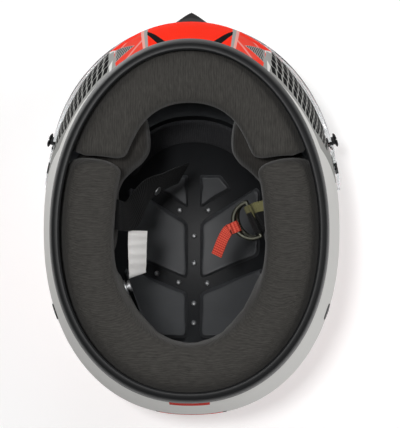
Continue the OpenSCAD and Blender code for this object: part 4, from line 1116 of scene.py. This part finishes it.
def weave(name, shade, thread_and_highlight, edge=None, pitch=1.6, gloss=0.75):
    """Webbing with ribs across its length. A strap's edge stripe is its colour and shares of girth. The
    lighter colour on the rib crests is partly the yarn and partly a painted highlight.
    """
    cloth, tree, shader = finish(name, Roughness=gloss, Specular_IOR_Level=0.2, Sheen_Weight=0.04,
                                 Sheen_Roughness=0.4)
    axes = add(tree, SPLIT, [add(tree, "ShaderNodeUVMap", {}, uv_map="lengths")])
    waves = []
    for axis, spacing in (("X", pitch), ("Y", pitch * 0.62)):
        turn = add(tree, MATH, [axes.outputs[axis], 2 * math.pi / spacing], operation="MULTIPLY")
        waves.append(add(tree, MATH, [turn], operation="SINE"))
    ribs, yarns = waves
    both = add(tree, MATH, [yarns, 0.4, ribs], operation="MULTIPLY_ADD")
    share = add(tree, RANGE, {"Value": both, "From Min": -1.4, "From Max": 1.4})
    colour = add(tree, MIX, {0: share, 6: paint(shade), 7: paint(thread_and_highlight)}, data_type="RGBA")
    if edge:
        tint, low, high = edge
        part = add(tree, MATH, [axes.outputs["Y"], STRAP_GIRTH], operation="DIVIDE")
        over = add(tree, MATH, [part, low], operation="SUBTRACT")
        under = add(tree, MATH, [high, part], operation="SUBTRACT")
        inside = add(tree, MATH, [over, under], operation="MINIMUM")
        stripe = add(tree, RANGE, {"Value": inside, "From Min": -0.005, "From Max": 0.005})
        colour = add(tree, MIX, {0: stripe, 6: colour, 7: paint(tint)}, data_type="RGBA")
    connect(tree, shader, {"Base Color": colour,
                           "Normal": add(tree, BUMP, {"Height": both, "Distance": 0.12 * MM})})
    return cloth


# Nylon webbing, a satin ribbon and polyester tape; threads run about 1.6 mm apart on the webbing.
black_webbing = weave("black_nylon_webbing", "050506", "0E0E0F")
olive_webbing = weave("olive_striped_nylon_webbing", "050506", "0E0E0F", ("726F4B", 0.43, 0.79))
# On the red tape the pale colour of the rib crests is a painted highlight.
red_tape = weave("red_polyester_tape", "B3231A", "F06A55", pitch=2.2, gloss=0.7)
ribbon_satin = weave("white_satin_ribbon", "F0EDEA", "FBFAF8", pitch=0.9, gloss=0.5)
print("woven finishes ready")

# %% Chin strap
PLATE_GAP, PLATE_WALL, STRAP_GAP, RING_GAP = 0.35, 1.4, 0.5, 0.3
STRAP_INSET = SHELL_WALL + PLATE_GAP + PLATE_WALL + STRAP_GAP + STRAP_THICK / 2
RING_PLACE, RING_WIRE, ring_turn = Vector((52.4, 3, 64)), 3.8, math.radians(23.5)
LOOP_RADIUS = RING_WIRE / 2 + RING_GAP + STRAP_THICK / 2
bar_way = Vector((math.sin(ring_turn), math.cos(ring_turn), 0))
bar_side = Vector((math.cos(ring_turn), -math.sin(ring_turn), 0))


def strap_start(side):
    """Route of a strap from its rivet down the wall and in under the cheek pad."""
    route, a = [], RIVET[0]
    for z in (98, 84, 66, 50):
        p, across = spot(a, z, STRAP_INSET), spot(a + 4, z) - spot(a - 4, z)
        route.append((side * p.x, p.y, p.z, side * across.x, across.y, 0))
    return route + [(side * x, -1, z, 0, 1, 0) for x, z in ((104, 39.4), (88, 38), (70, 38))]


def loop_item(out, z):
    """Place on the loop that holds the rings, this far out from their bars' middle."""
    p = RING_PLACE + bar_side * out
    return (p.x, p.y, z, bar_way.x, bar_way.y, 0)


left_route = curve_through(strap_start(1) + [loop_item(6.4, 41.2), loop_item(3.6, 47),
                                             loop_item(LOOP_RADIUS, 55)], 8)
left_route += [list(loop_item(LOOP_RADIUS * math.cos(t), RING_PLACE.z + LOOP_RADIUS * math.sin(t)))
               for t in (math.pi * k / 14 for k in range(15))]
left_route += curve_through([loop_item(-LOOP_RADIUS, 59), loop_item(-2.6, 54.5), loop_item(0.2, 50.5),
                             loop_item(1.3, 46.5)], 4)
right_route = curve_through(strap_start(-1) + [
    (-60.5, -1, 40.5, 0, 1, 0), (-57, 0, 52, 0.1, 1, 0), (-50, -1, 73, 0.3, 0.9, 0.2),
    (-40, -18, 94, 0.15, 0.75, 0.6), (-29.5, -26, 111, 0, 0.5, 0.85), (-18, -32.5, 127, 0, 0.45, 0.9),
    (-8, -37, 139, 0, 0.45, 0.9)], 8)
for word, route, cloth in (("left", left_route, olive_webbing), ("right", right_route, black_webbing)):
    strap = piece("webbing_" + word, ribbon_grid(route, STRAP_WIDTH, STRAP_THICK), "helmet", cloth,
                  ["strap_" + word])
    cut_away(strap, drill(rivet_at, rivet_way, (2.5, -14, 2)))
print("long strap has", len(right_route), "stations")

# %% Stud on the long strap
STUD = [(0, 1), (4, 1), (4, 1.7), (3.6, 2.1), (2.8, 2.4), (0, 2.6)]
stud_item, STUD_ASIDE = 11 * 8, 5
stud_before, stud_middle, stud_after = [
    Vector(item[:3]) for item in right_route[stud_item - 1:stud_item + 2]]
stud_along = (stud_after - stud_before).normalized()
stud_across = Vector(right_route[stud_item][3:])
stud_across = (stud_across - stud_along * stud_across.dot(stud_along)).normalized()
stud_way = -stud_along.cross(stud_across)
strap_stud = aim(turned(STUD), stud_middle + stud_across * STUD_ASIDE + stud_way * STRAP_THICK / 2,
                 stud_way)
print("stud sits on station", stud_item)

# %% Label
LABEL_WIDTH, LABEL_THICK, RIPPLE = 16, 0.5, 0.35
label_route = curve_through([(-44.3, 12.8, 69.7, 1, 0, 0), (-45, 24, 76, 0.97, 0, 0.2),
                             (-45.3, 38, 84, 0.9, 0, 0.4), (-45.7, 51, 93, 0.8, 0, 0.6)], 12)
for i, item in enumerate(label_route):
    item[2] += RIPPLE * math.sin(i * 0.9)
piece("bare_care_label", ribbon_grid(label_route, LABEL_WIDTH, LABEL_THICK), "helmet", ribbon_satin,
      ["care_label"])
print("label has", len(label_route), "stations")

# %% Pull tab
RING_HALF, RING_LEG, PULL_WIDTH, PULL_THICK = 15.4, 2, 9.4, 1
PULL_RIB, PULL_PITCH, PULL_HANG = 0.28, 2.2, 14
# The ring's bow is curved, so a flat loop on it is wider than the wire by the bow's sag.
sag = (RING_HALF - math.sqrt(RING_HALF ** 2 - PULL_WIDTH ** 2 / 4)) / 2
loop = RING_WIRE / 2 + sag + RING_GAP + PULL_THICK / 2
bow = sag - RING_LEG - RING_HALF
pull_route = [(bow - 7.5, 0, 0.75, 0, 1, 0), (bow - 5, 0, 0.9, 0, 1, 0)]
pull_route += [(bow + loop * math.cos(t), 0, loop * math.sin(t), 0, 1, 0)
               for t in (math.radians(155 - 10 * k) for k in range(32))]
tail = [(bow - 5, 0, -0.9, 0, 1, 0), (bow - 8, 1, -0.7, 0.25, 0.97, 0),
        (bow - 13.5, 5, -0.3, 0.52, 0.85, 0), (bow - 19.5, 10.2, 1.5, 0.6, 0.8, 0),
        (bow - 25.5, 15.5, 4, 0.62, 0.78, 0)]
pull_route += curve_through(tail, 22)
pull = ribbon_grid(pull_route, PULL_WIDTH, PULL_THICK, rib=PULL_RIB, rib_pitch=PULL_PITCH)
for turn, axis in ((math.radians(PULL_HANG), "Y"), (-ring_turn, "Z")):
    bmesh.ops.rotate(pull, cent=(0, 0, 0), matrix=Matrix.Rotation(turn, 3, axis), verts=pull.verts)
bmesh.ops.translate(pull, vec=(RING_PLACE - Vector((0, 0, RING_WIRE + 0.8))) * MM, verts=pull.verts)
piece("ribbed_pull_tab", pull, "pull_tab", red_tape, ["pull_tab"])
print("pull tab loops round the ring at a radius of %.1f mm" % loop)

# %% [markdown]
# ## Hardware
# The screws, anchors, rivets, studs and rings are turned or bent metal, and the solids already have
# their true shapes. They keep their meshes and only get better finishes, whose patterns follow the
# place on each piece. Bright steel bars are added at the bottom of the screws' and posts' slots as
# small inserts.

# %% Metal and moulded finishes
def metal(name, shade, roughness, grain, metallic=1.0):
    """Worn metal: brushed or polished, with small stains that change its gloss."""
    made, tree, shader = finish(name, Base_Color=paint(shade), Metallic=metallic, Roughness=roughness)
    place = place_of(tree)
    stain = add(tree, NOISE, {"Vector": place, "Scale": 1 / 2.2, "Detail": 3})
    gloss = add(tree, RANGE, {"Value": stain, "To Min": roughness * 0.75, "To Max": roughness * 1.3})
    pits = add(tree, NOISE, {"Vector": place, "Scale": 1 / grain})
    bumps = add(tree, BUMP, {"Height": pits, "Distance": 0.015 * MM})
    connect(tree, shader, {"Roughness": gloss, "Normal": bumps})
    return made


# Stainless steel, tumbled: bright, small soft stains. Nickel plate on wire: duller and yellower.
steel = metal("tumbled_stainless_steel", "8F9091", 0.48, 0.5)
piece("strap_stud", strap_stud, "helmet", steel, ["strap_snap"])
nickel = metal("dull_nickel_plate", "57574E", 0.5, 0.5)
# Black oxide on steel: near black, with an oily sheen.
oxide = metal("black_oxide_steel", "1C1C1E", 0.38, 0.6, metallic=0.85)
# Powder-coated rivet heads: white, with a fine orange peel.
powder, tree, shader = finish("white_powder_coat", Base_Color=paint("DAD9D6"), Roughness=0.35,
                              Coat_Weight=0.4)
peel = add(tree, NOISE, {"Vector": place_of(tree), "Scale": 1 / 0.7})
connect(tree, shader, {"Normal": add(tree, BUMP, {"Height": peel, "Distance": 0.02 * MM})})
# Glass-filled nylon: black, satin from its mould.
nylon = moulded("black_moulded_nylon", "0B0B0D", "141416", 6, 0.6, 0.02, Roughness=0.5,
                Specular_IOR_Level=0.25)
print("metal and moulded finishes ready")

# %% Finishes of the solids that stay
FINISHES = {
    "stud_": steel, "strap_plate": steel, "pivot_nut": steel, "neck_snap": steel, "d_ring": nickel,
    "pivot_screw": oxide, "restraint": oxide, "strap_rivet": powder,
    "pivot_seat": nylon, "tear_off": nylon, "visor_lift": nylon, "chin_foam": foam}
for name, solid in nodes.items():
    for start, made in FINISHES.items():
        if name.startswith(start):
            solid.data.materials.clear()
            solid.data.materials.append(made)
print(len(FINISHES), "kinds of solids stay")

# %% Bright slots
SLOT_WIDTH, SLOT_DEPTH, BAR_HEIGHT = 1.1, 0.9, 0.35
SCREW_HEAD, HEAD_GAP, HEAD_HEIGHT, POST_RADIUS, POST_HEIGHT = 5.8, 0.25, 2.4, 6.5, 6.2
# Height of a bar's middle over its slot's floor, just enough to lie on it.
BAR_LIFT = 0.18


def slot_insert(length, place, way):
    """A thin bright bar for the bottom of a screw's slot."""
    bar = bmesh.new()
    bmesh.ops.create_cube(bar, size=MM)
    bmesh.ops.scale(bar, vec=(SLOT_WIDTH, length, BAR_HEIGHT), verts=bar.verts)
    bmesh.ops.bevel(bar, geom=bar.edges[:], offset=0.1 * MM, segments=2, profile=0.5, affect="EDGES",
                    material=-1)
    return aim(bar, place, way)


bar_x = visor_seat + VISOR_WALL + HEAD_GAP + HEAD_HEIGHT - SLOT_DEPTH + BAR_LIFT
screw_slots = both_sides(slot_insert(2 * SCREW_HEAD * 0.86, (bar_x, pivot_y, PIVOT_LEVEL), (1, 0, 0)))
piece("screw_slot_inserts", screw_slots, "helmet", steel)
bar_at = post_at + post_way * (POST_HEIGHT - SLOT_DEPTH + BAR_LIFT)
post_slots = both_sides(slot_insert(2 * POST_RADIUS - 2.4, bar_at, post_way))
piece("post_slot_inserts", post_slots, "visor", steel)
print("slots added")

# %% [markdown]
# ## Stage and light
# The photograph has a white table under the crown, above this scene's helmet. A backdrop just over
# the crown takes its place, and a floor carries the helmet in views from above. Each is painted on
# one side only: a ray from the wrong side, and any ray that carries light, passes through, so both
# can stay in the scene. The shadow is real, and the white comes from the planes' own colour.

# %% Floor and backdrop
def one_sided(name, albedo, glow):
    """White plane that is seen from its front by camera, mirror and glass rays alone."""
    made = bpy.data.materials.new(name)
    tree = empty_tree(made)
    rays = add(tree, "ShaderNodeLightPath", {})
    side = add(tree, "ShaderNodeNewGeometry", {})
    seen = rays.outputs["Is Camera Ray"]
    for ray in ("Is Glossy Ray", "Is Transmission Ray"):
        seen = add(tree, MATH, [seen, rays.outputs[ray]], operation="MAXIMUM")
    front = add(tree, MATH, [1.0, side.outputs["Backfacing"]], operation="SUBTRACT")
    share = add(tree, MATH, [seen, front], operation="MULTIPLY")
    white = add(tree, "ShaderNodeBsdfDiffuse", {"Color": (albedo, albedo, albedo, 1)})
    bright = add(tree, "ShaderNodeEmission", {"Color": (1, 1, 1, 1), "Strength": glow})
    both = add(tree, "ShaderNodeAddShader", [white, bright])
    clear = add(tree, "ShaderNodeBsdfTransparent", {})
    mixed = add(tree, "ShaderNodeMixShader", {0: share, 1: clear, 2: both})
    add(tree, "ShaderNodeOutputMaterial", {"Surface": mixed})
    return made


STAGE_HALF, STAGE_GAP = 3, 0.6


def stage_plane(name, z, upwards, finish_of):
    """Square plane at a height in millimetres that isn't part of the helmet."""
    grid = bmesh.new()
    bmesh.ops.create_grid(grid, x_segments=1, y_segments=1, size=STAGE_HALF)
    if not upwards:
        bmesh.ops.reverse_faces(grid, faces=grid.faces)
    bmesh.ops.translate(grid, vec=(0, 0, z * MM), verts=grid.verts)
    plane = mesh_object(name, grid)
    plane.data.materials.append(finish_of)


stage_plane("floor", -STAGE_GAP, True, one_sided("white_floor_paper", 0.5, 0.55))
stage_plane("backdrop", CROWN + STAGE_GAP, False, one_sided("white_table_top", 0.85, 0.24))
print("floor and backdrop ready")

# %% World and lamps
world = bpy.data.worlds.new("studio")
bpy.context.scene.world = world
tree = empty_tree(world)
rays = add(tree, "ShaderNodeLightPath", {})
seen = add(tree, MATH, [rays.outputs["Is Camera Ray"], rays.outputs["Is Transmission Ray"]],
           operation="MAXIMUM")
strength = add(tree, RANGE, {"Value": seen, "To Min": 0.36, "To Max": 1.0})
sky = add(tree, "ShaderNodeBackground", {"Color": (1, 1, 1, 1), "Strength": strength})
add(tree, "ShaderNodeOutputWorld", {"Surface": sky})


LAMP_AIM = Vector((0, 0, 0.1))


def softbox(name, place, power, size):
    """Square lamp at a place in metres, turned to the helmet. Power is in watts."""
    light = bpy.data.lights.new(name, "AREA")
    light.shape, light.size, light.energy = "SQUARE", size, power
    lamp = in_scene(name, light)
    lamp.location = place
    lamp.rotation_euler = (LAMP_AIM - Vector(place)).to_track_quat("-Z", "Y").to_euler()


softbox("key_below", (-0.2, -0.16, -2.0), 22, 0.2)
softbox("front_below", (0.1, -1.9, -0.2), 9, 0.6)
softbox("fill_below", (0.9, -0.3, -1.3), 5, 0.5)
softbox("key_above", (-1.1, -1.3, 1.8), 30, 1.2)
softbox("fill_above", (1.3, 0.9, 1.3), 14, 1.3)
bpy.context.scene.view_settings.view_transform = "Standard"
